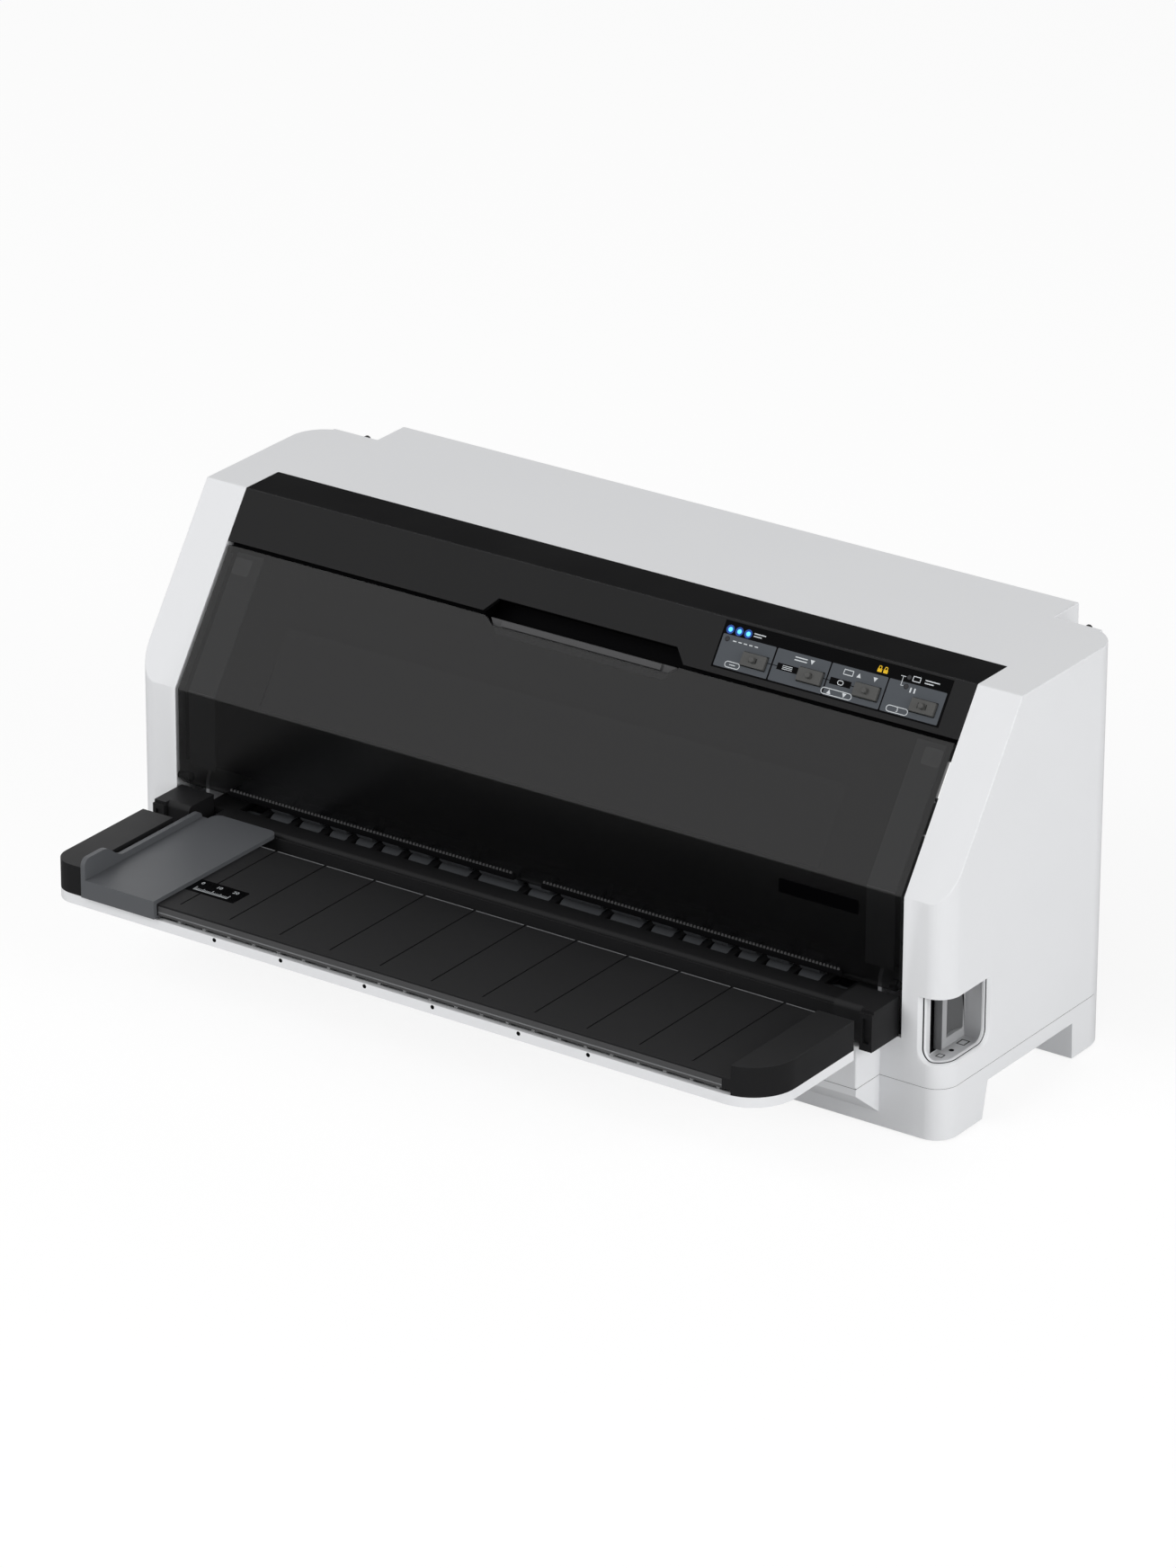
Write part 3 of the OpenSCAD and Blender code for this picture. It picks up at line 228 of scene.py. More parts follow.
def skinned(name, rows, towards):
    """A sheet through equal rows of points, in mm, its front turned towards a direction."""
    n, m = len(rows), len(rows[0])
    deselect_all()
    bpy.ops.mesh.primitive_grid_add(x_subdivisions=n - 1, y_subdivisions=m - 1, size=2)
    piece = bpy.context.object
    piece.name = name
    for vertex in piece.data.vertices:
        i = round((vertex.co.x + 1) / 2 * (n - 1))
        j = round((vertex.co.y + 1) / 2 * (m - 1))
        vertex.co = rows[i][j] * MM
    with editing(piece) as mesh:
        mesh.normal_update()
        facing = sum(face.calc_area() * face.normal.dot(towards) for face in mesh.faces)
        if facing < 0:
            bpy.ops.mesh.select_all(action="SELECT")
            bpy.ops.mesh.flip_normals()
    return piece


def merged(piece):
    """Joins points that meet and flat faces that share an edge."""
    with editing(piece):
        bpy.ops.mesh.select_all(action="SELECT")
        bpy.ops.mesh.remove_doubles(threshold=0.002 * MM)
        bpy.ops.mesh.dissolve_limited(angle_limit=math.radians(0.4))
    return piece


def cad_copy(node, name):
    """A merged copy of a CAD node's mesh, to be shaped further; the node itself stays as it is."""
    activate(NODES[node])
    bpy.ops.object.duplicate()
    piece = bpy.context.object
    piece.name = name
    bpy.ops.object.parent_clear(type="CLEAR_KEEP_TRANSFORM")
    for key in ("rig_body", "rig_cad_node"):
        if key in piece:
            del piece[key]
    piece.data.materials.clear()
    bpy.ops.mesh.customdata_custom_splitnormals_clear()
    return merged(piece)


def anywhere(_point, _direction):
    """The rule that lets every edge be rounded."""
    return True


def round_edges(piece, width, segments=3, rule=anywhere, sharp=25.0):
    """Bevels the edges that stand out by more than sharp degrees, where the rule allows.

    The rule is given an edge's middle, in mm from the front face, and its direction."""
    with editing(piece, "EDGE") as mesh:
        count = 0
        for edge in mesh.edges:
            if len(edge.link_faces) != 2:
                continue
            if math.degrees(edge.calc_face_angle_signed(0.0)) < sharp:
                continue
            middle = (edge.verts[0].co + edge.verts[1].co) / 2 / MM
            middle.y -= FACE_Y
            direction = (edge.verts[1].co - edge.verts[0].co).normalized()
            if rule(middle, direction):
                edge.select = True
                count += 1
        bmesh.update_edit_mesh(piece.data)
        if count:
            bpy.ops.mesh.bevel(offset=width * MM, segments=segments, profile=0.5, clamp_overlap=True)
    return piece


def cut(piece, *cutters):
    """Takes the cutters out of a piece, and deletes them."""
    for cutter in cutters:
        activate(piece)
        step = piece.modifiers.new("cut", "BOOLEAN")
        step.operation = "DIFFERENCE"
        step.solver = "EXACT"
        step.object = cutter
        bpy.ops.object.modifier_apply(modifier=step.name)
        bpy.data.objects.remove(cutter)
    return piece


def joined(name, pieces):
    """One named piece made of several."""
    deselect_all()
    for piece in pieces:
        piece.select_set(True)
    bpy.context.view_layer.objects.active = pieces[0]
    if len(pieces) > 1:
        bpy.ops.object.join()
    pieces[0].name = name
    return pieces[0]


def repeated(piece, name, offsets):
    """Copies of one piece, each moved by an offset in mm, joined into one mesh."""
    copies = []
    for offset in offsets:
        activate(piece)
        bpy.ops.object.duplicate()
        copy = bpy.context.object
        copy.data.transform(Matrix.Translation(Vector(offset) * MM))
        copies.append(copy)
    bpy.data.objects.remove(piece)
    return joined(name, copies)


def text_mesh(name, words, size, place, along="z"):
    """Flat figures made into a mesh, their middle on a point of a face."""
    deselect_all()
    bpy.ops.object.text_add()
    letters = bpy.context.object
    letters.data.body = words
    letters.data.size = size * MM
    letters.data.align_x = "CENTER"
    letters.data.align_y = "CENTER"
    letters.data.extrude = FIGURE_HEIGHT * MM / 2
    letters.data.resolution_u = 3
    bpy.ops.object.convert(target="MESH")
    piece = bpy.context.object
    piece.name = name
    u, v, h = place
    if along == "slant":
        piece.data.transform(Matrix.Translation(Vector((u, -v, h)) * MM))
        turn = slant_matrix()
        turn.translation = turn.translation * MM
        piece.data.transform(turn)
    else:
        piece.data.transform(Matrix.Translation(PLACES[along](u, v, h) * MM))
    return piece


def finish_piece(piece, body, material, replaces=(), smooth=32.0, weighted=True):
    """Shading, material, body and slot of a finished piece."""
    activate(piece)
    bpy.ops.object.transform_apply(location=True, rotation=True, scale=True)
    bpy.ops.object.shade_smooth_by_angle(angle=math.radians(smooth))
    if weighted:
        step = piece.modifiers.new("even_normals", "WEIGHTED_NORMAL")
        step.mode = "FACE_AREA_WITH_ANGLE"
        step.keep_sharp = True
        bpy.ops.object.modifier_apply(modifier=step.name)
    piece.data.materials.clear()
    piece.data.materials.append(bpy.data.materials[material])
    for face in piece.data.polygons:
        face.material_index = 0
    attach(piece, body)
    if replaces:
        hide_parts(*replaces)
    deselect_all()
    return piece


def refined(node, material, width):
    """A CAD node's shape with its edges rounded and a smooth skin, in place of the node."""
    piece = cad_copy(node, node + "_skin")
    if width:
        round_edges(piece, width, 2)
    body = next(b for b, members in frame["record"]["behaviour"]["bodies"].items() if node in members)
    return finish_piece(piece, body, material, [node])


# ---------------------------------------------------------------- materials

def linear(hex_colour):
    """sRGB hex to linear RGBA."""
    parts = [int(hex_colour[i:i + 2], 16) / 255 for i in (1, 3, 5)]
    return [c / 12.92 if c <= 0.04045 else ((c + 0.055) / 1.055) ** 2.4 for c in parts] + [1.0]


def add_node(tree, kind, settings=None, links=None):
    """Adds a node, sets its properties and inputs, and links other nodes' outputs into it."""
    node = tree.nodes.new(kind)
    for key, value in (settings or {}).items():
        if isinstance(key, str) and hasattr(node, key):
            setattr(node, key, value)
        else:
            node.inputs[key].default_value = value
    for key, output in (links or {}).items():
        tree.links.new(output, node.inputs[key])
    return node


def new_material(name):
    """An empty material and its node tree."""
    material = bpy.data.materials.new(name)
    material.use_nodes = True
    material.node_tree.nodes.clear()
    return material, material.node_tree


def plastic(name, colour, roughness, grain_mm=0.35, depth_mm=0.01, reflect=0.5, drift=0.02):
    """Moulded plastic: spark-eroded grain, and a slight drift of gloss and shade over the part."""
    material, tree = new_material(name)
    place = add_node(tree, "ShaderNodeTexCoord").outputs["Object"]
    grain = add_node(tree, "ShaderNodeTexNoise", {"Scale": 1 / (grain_mm * MM), "Detail": 3.0}, {"Vector": place})
    flow = add_node(tree, "ShaderNodeTexNoise", {"Scale": 1 / (55 * MM), "Detail": 4.0}, {"Vector": place})
    bump = add_node(tree, "ShaderNodeBump", {"Strength": 0.35, "Distance": depth_mm * MM},
                    {"Height": grain.outputs["Fac"]})
    gloss = add_node(tree, "ShaderNodeMapRange", {"From Min": 0.3, "From Max": 0.7, "To Min": roughness - 0.04,
                                                  "To Max": roughness + 0.04}, {"Value": flow.outputs["Fac"]})
    shade = linear(colour)
    tone = add_node(tree, "ShaderNodeMix", {"data_type": "RGBA"}, {0: flow.outputs["Fac"]})
    tone.inputs[MIX_A].default_value = [c * (1 - drift) for c in shade[:3]] + [1.0]
    tone.inputs[MIX_B].default_value = [min(1.0, c * (1 + drift)) for c in shade[:3]] + [1.0]
    skin = add_node(tree, "ShaderNodeBsdfPrincipled", {"IOR": 1.5, "Specular IOR Level": reflect},
                    {"Base Color": tone.outputs[MIX_OUT], "Roughness": gloss.outputs[0], "Normal": bump.outputs[0]})
    add_node(tree, "ShaderNodeOutputMaterial", links={"Surface": skin.outputs[0]})


def smoked_plastic(name, colour, clear, roughness):
    """Smoked polycarbonate: a dark gloss skin through which a little of the inside shows."""
    material, tree = new_material(name)
    place = add_node(tree, "ShaderNodeTexCoord").outputs["Object"]
    flow = add_node(tree, "ShaderNodeTexNoise", {"Scale": 1 / (90 * MM), "Detail": 3.0}, {"Vector": place})
    gloss = add_node(tree, "ShaderNodeMapRange", {"From Min": 0.3, "From Max": 0.7, "To Min": roughness - 0.03,
                                                  "To Max": roughness + 0.03}, {"Value": flow.outputs["Fac"]})
    skin = add_node(tree, "ShaderNodeBsdfPrincipled", {"IOR": 1.58, "Specular IOR Level": 0.55,
                                                       "Base Color": linear(colour), "Alpha": 1.0 - clear},
                    {"Roughness": gloss.outputs[0]})
    add_node(tree, "ShaderNodeOutputMaterial", links={"Surface": skin.outputs[0]})


def metal(name, colour, roughness, line_mm=0.5, stretch=(0.02, 1.0, 1.0), metallic=1.0):
    """Ground, drawn or pressed metal: fine lines along one direction break up the gloss."""
    material, tree = new_material(name)
    place = add_node(tree, "ShaderNodeTexCoord").outputs["Object"]
    lay = add_node(tree, "ShaderNodeMapping", {"Scale": stretch}, {"Vector": place})
    lines = add_node(tree, "ShaderNodeTexNoise", {"Scale": 1 / (line_mm * MM), "Detail": 2.0},
                     {"Vector": lay.outputs[0]})
    gloss = add_node(tree, "ShaderNodeMapRange", {"To Min": roughness - 0.08, "To Max": roughness + 0.1},
                     {"Value": lines.outputs["Fac"]})
    bump = add_node(tree, "ShaderNodeBump", {"Strength": 0.2, "Distance": 0.01 * MM},
                    {"Height": lines.outputs["Fac"]})
    skin = add_node(tree, "ShaderNodeBsdfPrincipled", {"Metallic": metallic, "Base Color": linear(colour)},
                    {"Roughness": gloss.outputs[0], "Normal": bump.outputs[0]})
    add_node(tree, "ShaderNodeOutputMaterial", links={"Surface": skin.outputs[0]})


def zinc_plate(name):
    """Zinc-plated sheet: pale crystals of a few millimetres under a dull gloss."""
    material, tree = new_material(name)
    place = add_node(tree, "ShaderNodeTexCoord").outputs["Object"]
    crystals = add_node(tree, "ShaderNodeTexVoronoi", {"Scale": 1 / (6 * MM)}, {"Vector": place})
    tone = add_node(tree, "ShaderNodeMix", {"data_type": "RGBA"}, {0: crystals.outputs["Color"]})
    tone.inputs[MIX_A].default_value = linear("#8E9195")
    tone.inputs[MIX_B].default_value = linear("#A9ACB0")
    gloss = add_node(tree, "ShaderNodeMapRange", {"To Min": 0.34, "To Max": 0.5},
                     {"Value": crystals.outputs["Distance"]})
    skin = add_node(tree, "ShaderNodeBsdfPrincipled", {"Metallic": 0.9},
                    {"Base Color": tone.outputs[MIX_OUT], "Roughness": gloss.outputs[0]})
    add_node(tree, "ShaderNodeOutputMaterial", links={"Surface": skin.outputs[0]})


def lamp(name, colour, strength):
    """Tinted lens lit from behind, brighter in its middle than at its rim."""
    material, tree = new_material(name)
    facing = add_node(tree, "ShaderNodeLayerWeight", {"Blend": 0.4})
    power = add_node(tree, "ShaderNodeMapRange", {"To Min": strength, "To Max": strength * 0.35},
                     {"Value": facing.outputs["Facing"]})
    skin = add_node(tree, "ShaderNodeBsdfPrincipled", {"Base Color": linear(colour), "Roughness": 0.15,
                                                       "Emission Color": linear(colour)},
                    {"Emission Strength": power.outputs[0]})
    add_node(tree, "ShaderNodeOutputMaterial", links={"Surface": skin.outputs[0]})


def make_materials(look):
    """All the materials; the colours that a user may change come from the settings."""
    # Moulded ABS: fine grain that softens the highlights of the pale shells.
    plastic("moulded_abs_white", look.shell_colour, 0.42, grain_mm=0.5, depth_mm=0.015, drift=0.01)
    # The same ABS in black: the fixed panel has a silky gloss, and its top strip is duller, with painted shade: a
    # darker black with almost no reflection, for the dark surroundings it mirrors.
    plastic("moulded_abs_black", look.panel_colour, 0.4, grain_mm=0.4, depth_mm=0.01, reflect=0.24, drift=0.03)
    plastic("strip_black_painted_shade", "#0C0C0D", 0.6, grain_mm=0.4, depth_mm=0.01, reflect=0.02, drift=0.03)
    # Spark-eroded black ABS: the table and brackets scatter light, so edges read as grey lines.
    plastic("textured_abs_black", look.table_colour, 0.5, grain_mm=0.6, depth_mm=0.03, reflect=0.2, drift=0.04)
    plastic("textured_abs_guide", look.guide_colour, 0.42, grain_mm=0.5, depth_mm=0.015, reflect=0.35, drift=0.02)
    # Smoked polycarbonate: a dark gloss with the paler ribs and the pane behind it just showing.
    smoked_plastic("smoked_polycarbonate", look.cover_colour, 0.38, 0.22)
    plastic("inner_band_abs", "#9FA1A3", 0.6, grain_mm=8, depth_mm=0.001, reflect=0.2)
    # Painted shade: a dark grey pane behind the cover, for the dim inside seen through it.
    plastic("inner_pane_painted_shade", "#3A3A3B", 0.5, grain_mm=8, depth_mm=0.001, reflect=0.1)
    # Painted highlights: a pale grey for lines where edges catch the light; the same grey is the plain colour of the
    # cover's lower bands.
    plastic("grey_band_and_painted_highlight", "#77787A", 0.4, grain_mm=0.3, reflect=0.4)
    # The table's lip painted paler: a painted reflection of the bright floor in front.
    plastic("lip_painted_reflection", "#454546", 0.42, grain_mm=0.4, depth_mm=0.01, reflect=0.4)
    # Matt black film: the depth of gaps, slots and holes, which send almost no light back.
    plastic("shade_film", "#060607", 0.6, reflect=0.05)
    # Screen-printed overlay: matt grey fields and white ink on gloss black film.
    plastic("screened_overlay", "#45494E", 0.4, grain_mm=0.25, depth_mm=0.004, reflect=0.3, drift=0.01)
    plastic("gloss_overlay", "#030304", 0.2, grain_mm=1.5, depth_mm=0.002, reflect=0.05, drift=0.01)
    plastic("screen_ink", "#C9CDD0", 0.5, grain_mm=0.2, depth_mm=0.004)
    plastic("screen_ink_yellow", "#E0B51C", 0.5, grain_mm=0.2, depth_mm=0.004)
    # Moulded ABS of what fingers touch: greys with a soft sheen, and signs pressed in darker.
    plastic("button_abs", "#4A4A49", 0.36, grain_mm=0.4, depth_mm=0.01, reflect=0.3)
    plastic("button_mark", "#232323", 0.5, grain_mm=0.3, depth_mm=0.004, reflect=0.2)
    plastic("grip_abs", "#4A4A4B", 0.5, grain_mm=0.5, depth_mm=0.01, reflect=0.2)
    plastic("lever_abs", "#A2A3A5", 0.4, grain_mm=0.5, depth_mm=0.01)
    # Painted shade: the lever's hollow side and front face in a darker copy of its grey.
    plastic("lever_abs_painted_shade", "#5A5B5C", 0.45, grain_mm=0.5, depth_mm=0.01)
    plastic("tractor_abs", "#3A4352", 0.42)
    # Natural acetal: ivory gears and sprockets with a waxy, even gloss.
    plastic("acetal_natural", "#D9D5C6", 0.4, grain_mm=0.8, depth_mm=0.01)
    # Clear lenses over dark and lit diodes: glassy, and the lit ones have a painted blue glow in a ring round them.
    plastic("dark_lens", "#15161A", 0.12, grain_mm=1.0, depth_mm=0.001)
    lamp("blue_lens", "#4AA6F5", 1.7)
    lamp("blue_painted_glow", "#083A86", 0.3)
    # Ground rubber: matt, with the grinding grit still in it.
    plastic("ground_rubber", "#1A1A1B", 0.78, grain_mm=0.9, depth_mm=0.06, reflect=0.25)
    plastic("ground_rubber_grey", "#494B4E", 0.66, grain_mm=0.9, depth_mm=0.05, reflect=0.3)
    # Lacquer over copper tracks: deep green that changes a little in shade, with a wet gloss.
    plastic("solder_mask", "#0F4A2A", 0.3, grain_mm=1.2, depth_mm=0.01, drift=0.08)
    # Shafts ground lengthwise, turned brass, and stoved paint over steel, which is no longer a metal to the eye.
    metal("ground_steel", "#C4C6C8", 0.24, line_mm=0.6, stretch=(1.0, 0.03, 0.03))
    metal("turned_brass", "#C9A45A", 0.3, line_mm=0.4)
    metal("stoved_black", "#1B1B1D", 0.45, line_mm=0.8, metallic=0.0)
    # Zinc-plated sheet: the side frames' dull grey with pale crystals.
    zinc_plate("zinc_sheet")


# ---------------------------------------------------------------- settings

class PrinterLook(bpy.types.PropertyGroup):
    """Roundings, light and colours that a user may change"""
    edge_case: bpy.props.FloatProperty(name="Case edge", description="Rounding of the white shells' outer edges",
                                       default=1.6 * MM, min=0.3 * MM, max=3 * MM, unit="LENGTH")
    seam: bpy.props.FloatProperty(name="Seam", description="Rounding of the edges that meet at the case's seam",
                                  default=0.45 * MM, min=0.1 * MM, max=1 * MM, unit="LENGTH")
    edge_table: bpy.props.FloatProperty(name="Table edge", description="Rounding of the sheet table's edges",
                                        default=0.9 * MM, min=0.2 * MM, max=2 * MM, unit="LENGTH")
    edge_guide: bpy.props.FloatProperty(name="Guide edge", description="Rounding of the edge guide",
                                        default=0.8 * MM, min=0.2 * MM, max=1.2 * MM, unit="LENGTH")
    fill: bpy.props.FloatProperty(name="Fill light", description="Brightness of the surroundings, as a light",
                                  default=0.42, min=0.1, max=1.0)
    shell_colour: bpy.props.StringProperty(name="Shell colour", description="Hex colour of the white shells",
                                           default="#E3E4E6")
    panel_colour: bpy.props.StringProperty(name="Panel colour", description="Hex colour of the fixed black panel",
                                           default="#0F0F10")
    table_colour: bpy.props.StringProperty(name="Table colour", description="Hex colour of the sheet table",
                                           default="#1B1B1C")
    guide_colour: bpy.props.StringProperty(name="Guide colour", description="Hex colour of the edge guide",
                                           default="#55575A")
    cover_colour: bpy.props.StringProperty(name="Cover colour", description="Hex colour of the smoked cover",
                                           default="#050506")


# ---------------------------------------------------------------- pieces

class PRINTER_OT_case(bpy.types.Operator):
    """White upper and lower shells with rounded outer edges and a fine seam"""
    bl_idname = "printer.case"
    bl_label = "Case shells"

    def execute(self, context):
        look = context.scene.printer_look
        edge, seam_edge = look.edge_case / MM, look.seam / MM
        ribbon_drop, ribbon_height = 0.45, 0.6

        def on_outline(point):
            corner = math.hypot(abs(point.x) - HALF_W + FRONT_R, point.y - FRONT_R)
            in_corner = abs(point.x) > HALF_W - FRONT_R and point.y < FRONT_R
            return corner > FRONT_R - 1 if in_corner else (abs(point.x) > HALF_W - 0.2 or point.y < 0.2)

        def outer(point, _direction):
            on_top = point.z > CASE_TOP - 0.5
            on_slant = abs(point.x) > HALF_W - FRONT_R - 1 and point.z > KNEE_Z - 2 and point.y < SLANT_RUN + 1
            off_window = abs(point.x) > WINDOW_X + 0.2 or point.y > STRIP_END + 0.5
            return (on_top or on_slant) and off_window

        def seam(point, _direction):
            return abs(point.z - SEAM_Z) < 0.35 and on_outline(point)

        def window(point, _direction):
            return abs(abs(point.x) - WINDOW_X) < 0.2 and point.y < STRIP_END and point.z > 75

        def apron(point, direction):
            return point.y < -20 and abs(direction.z) > 0.5 and abs(point.x) > 200

        def foot(point, direction):
            return point.z < SEAM_Z - 1 and abs(point.x) > 190 and (point.z < 21 or abs(direction.z) > 0.5)

        def base_front(point, _direction):
            return point.y < 0.1 and abs(point.x) < 204 and point.z < SEAM_Z - 1

        # The underside of the upper case, drawn in a little, becomes the dark line of the seam.
        line = cad_copy("upper_case", "seam_line")
        with editing(line) as mesh:
            for face in mesh.faces:
                face.select = face.normal.z > -0.999 or abs(face.calc_center_median().z / MM - SEAM_Z) > 0.05
            bmesh.update_edit_mesh(line.data)
            bpy.ops.mesh.delete(type="FACE")
            bpy.ops.mesh.select_all(action="SELECT")
            bpy.ops.mesh.inset(thickness=0.1 * MM, depth=0, use_boundary=True)
            bpy.ops.mesh.select_all(action="INVERT")
            bpy.ops.mesh.delete(type="FACE")
            bpy.ops.mesh.select_all(action="SELECT")
            bpy.ops.transform.translate(value=(0, 0, -ribbon_drop * MM))
            bpy.ops.mesh.extrude_region_move(TRANSFORM_OT_translate={"value": (0, 0, ribbon_height * MM)})
            bpy.ops.mesh.select_all(action="SELECT")
            bpy.ops.mesh.normals_make_consistent(inside=False)
        finish_piece(line, "case", "shade_film", weighted=False)

        shell = cad_copy("upper_case", "case_shell")
        round_edges(shell, edge, 4, outer, 12.0)
        round_edges(shell, 0.5, 2, window, 40.0)
        round_edges(shell, seam_edge, 2, seam, 40.0)
        round_edges(shell, 0.9, 3, apron, 40.0)
        finish_piece(shell, "case", "moulded_abs_white", ["upper_case"])
        base = cad_copy("lower_case", "base_shell")
        round_edges(base, 1.3, 3, foot, 30.0)
        round_edges(base, seam_edge, 2, seam, 40.0)
        round_edges(base, 0.7, 3, base_front, 25.0)
        finish_piece(base, "case", "moulded_abs_white", ["lower_case"])

        pegs = []
        for side in (-1, 1):
            round_end = circle_points(side * (HALF_W - 25.4), CASE_TOP - 6, 1.95, 20)
            peg = extruded("peg", round_end, "y", POD_DEPTH + 0.2, POD_DEPTH + 10.6)
            pegs.append(round_edges(peg, 0.4, 2))
        finish_piece(joined("case_pegs", pegs), "case", "textured_abs_black")
        return {"FINISHED"}


class PRINTER_OT_top_panel(bpy.types.Operator):
    """Black top strip, slanted fixed panel, the lip behind the slot and the finger pocket"""
    bl_idname = "printer.top_panel"
    bl_label = "Fixed panel"

    def execute(self, context):
        panel = cad_copy("top_panel", "fixed_panel")
        round_edges(panel, 0.7)
        # The level face on top is a piece of its own, because its black is duller and carries painted shade.
        with editing(panel) as mesh:
            for face in mesh.faces:
                face.select = face.normal.z > 0.999 and face.calc_center_median().z > (CASE_TOP - 0.1) * MM
            bmesh.update_edit_mesh(panel.data)
            bpy.ops.mesh.separate(type="SELECTED")
        strip = next(o for o in context.selected_objects if o is not panel)
        strip.name = "top_strip"
        finish_piece(strip, "case", "strip_black_painted_shade", weighted=False)
        finish_piece(panel, "case", "moulded_abs_black", ["top_panel"])
        # The crease between the strip and the slant gets a painted highlight: a fine pale line.
        half = SLANT / 2
        out = Vector((-math.sin(half), math.cos(half)))
        along = Vector((out.y, -out.x))
        corner = Vector((SLANT_RUN, CASE_TOP))
        sides = ((0.15, -0.3), (0.15, 0.3), (0.5, 0.3), (0.5, -0.3))
        edge = [tuple(corner - out * depth + along * across) for depth, across in sides]
        crease = extruded("panel_crease_highlight", edge, "x", -WINDOW_X + 1.2, WINDOW_X - 1.2)
        finish_piece(crease, "case", "grey_band_and_painted_highlight", weighted=False)

        # The ledge behind the cover's slot, lower below the overlay, and the pocket for the fingers.
        pocket_x, pocket_wall = 60.5, 1.2
        ledge = ((24, -2.7), (27.5, -2.7), (27.5, -4.7), (33, -4.7), (33, -5.7), (24, -5.7))
        low_ledge = ((26.2, -3.4), (28, -3.4), (28, -4.7), (33, -4.7), (33, -5.7), (26.2, -5.7))
        pocket = ((18.5, -2.7), (18.5, -14), (31.5, -14), (31.5, -5.2), (30.5, -5.2), (30.5, -13), (19.7, -13),
                  (19.7, -2.7))
        runs = ((ledge, 1 - WINDOW_X, -61), (ledge, 61, PLATE_X0 - 1), (ledge, PLATE_X1 + 1, WINDOW_X - 1),
                (low_ledge, PLATE_X0 - 1.5, PLATE_X1 + 1.5), (pocket, -pocket_x, pocket_x))
        parts = [extruded("lining", [slant_point(s, n) for s, n in points], "x", x0, x1) for points, x0, x1 in runs]
        for side in (-1, 1):
            x0, x1 = sorted((side * pocket_x, side * (pocket_x + pocket_wall)))
            parts.append(extruded("pocket_end", rectangle(x0, x1, 18.5, 31.5), "slant", -14, -4.6))
        finish_piece(joined("finger_pocket", parts), "case", "shade_film")
        return {"FINISHED"}


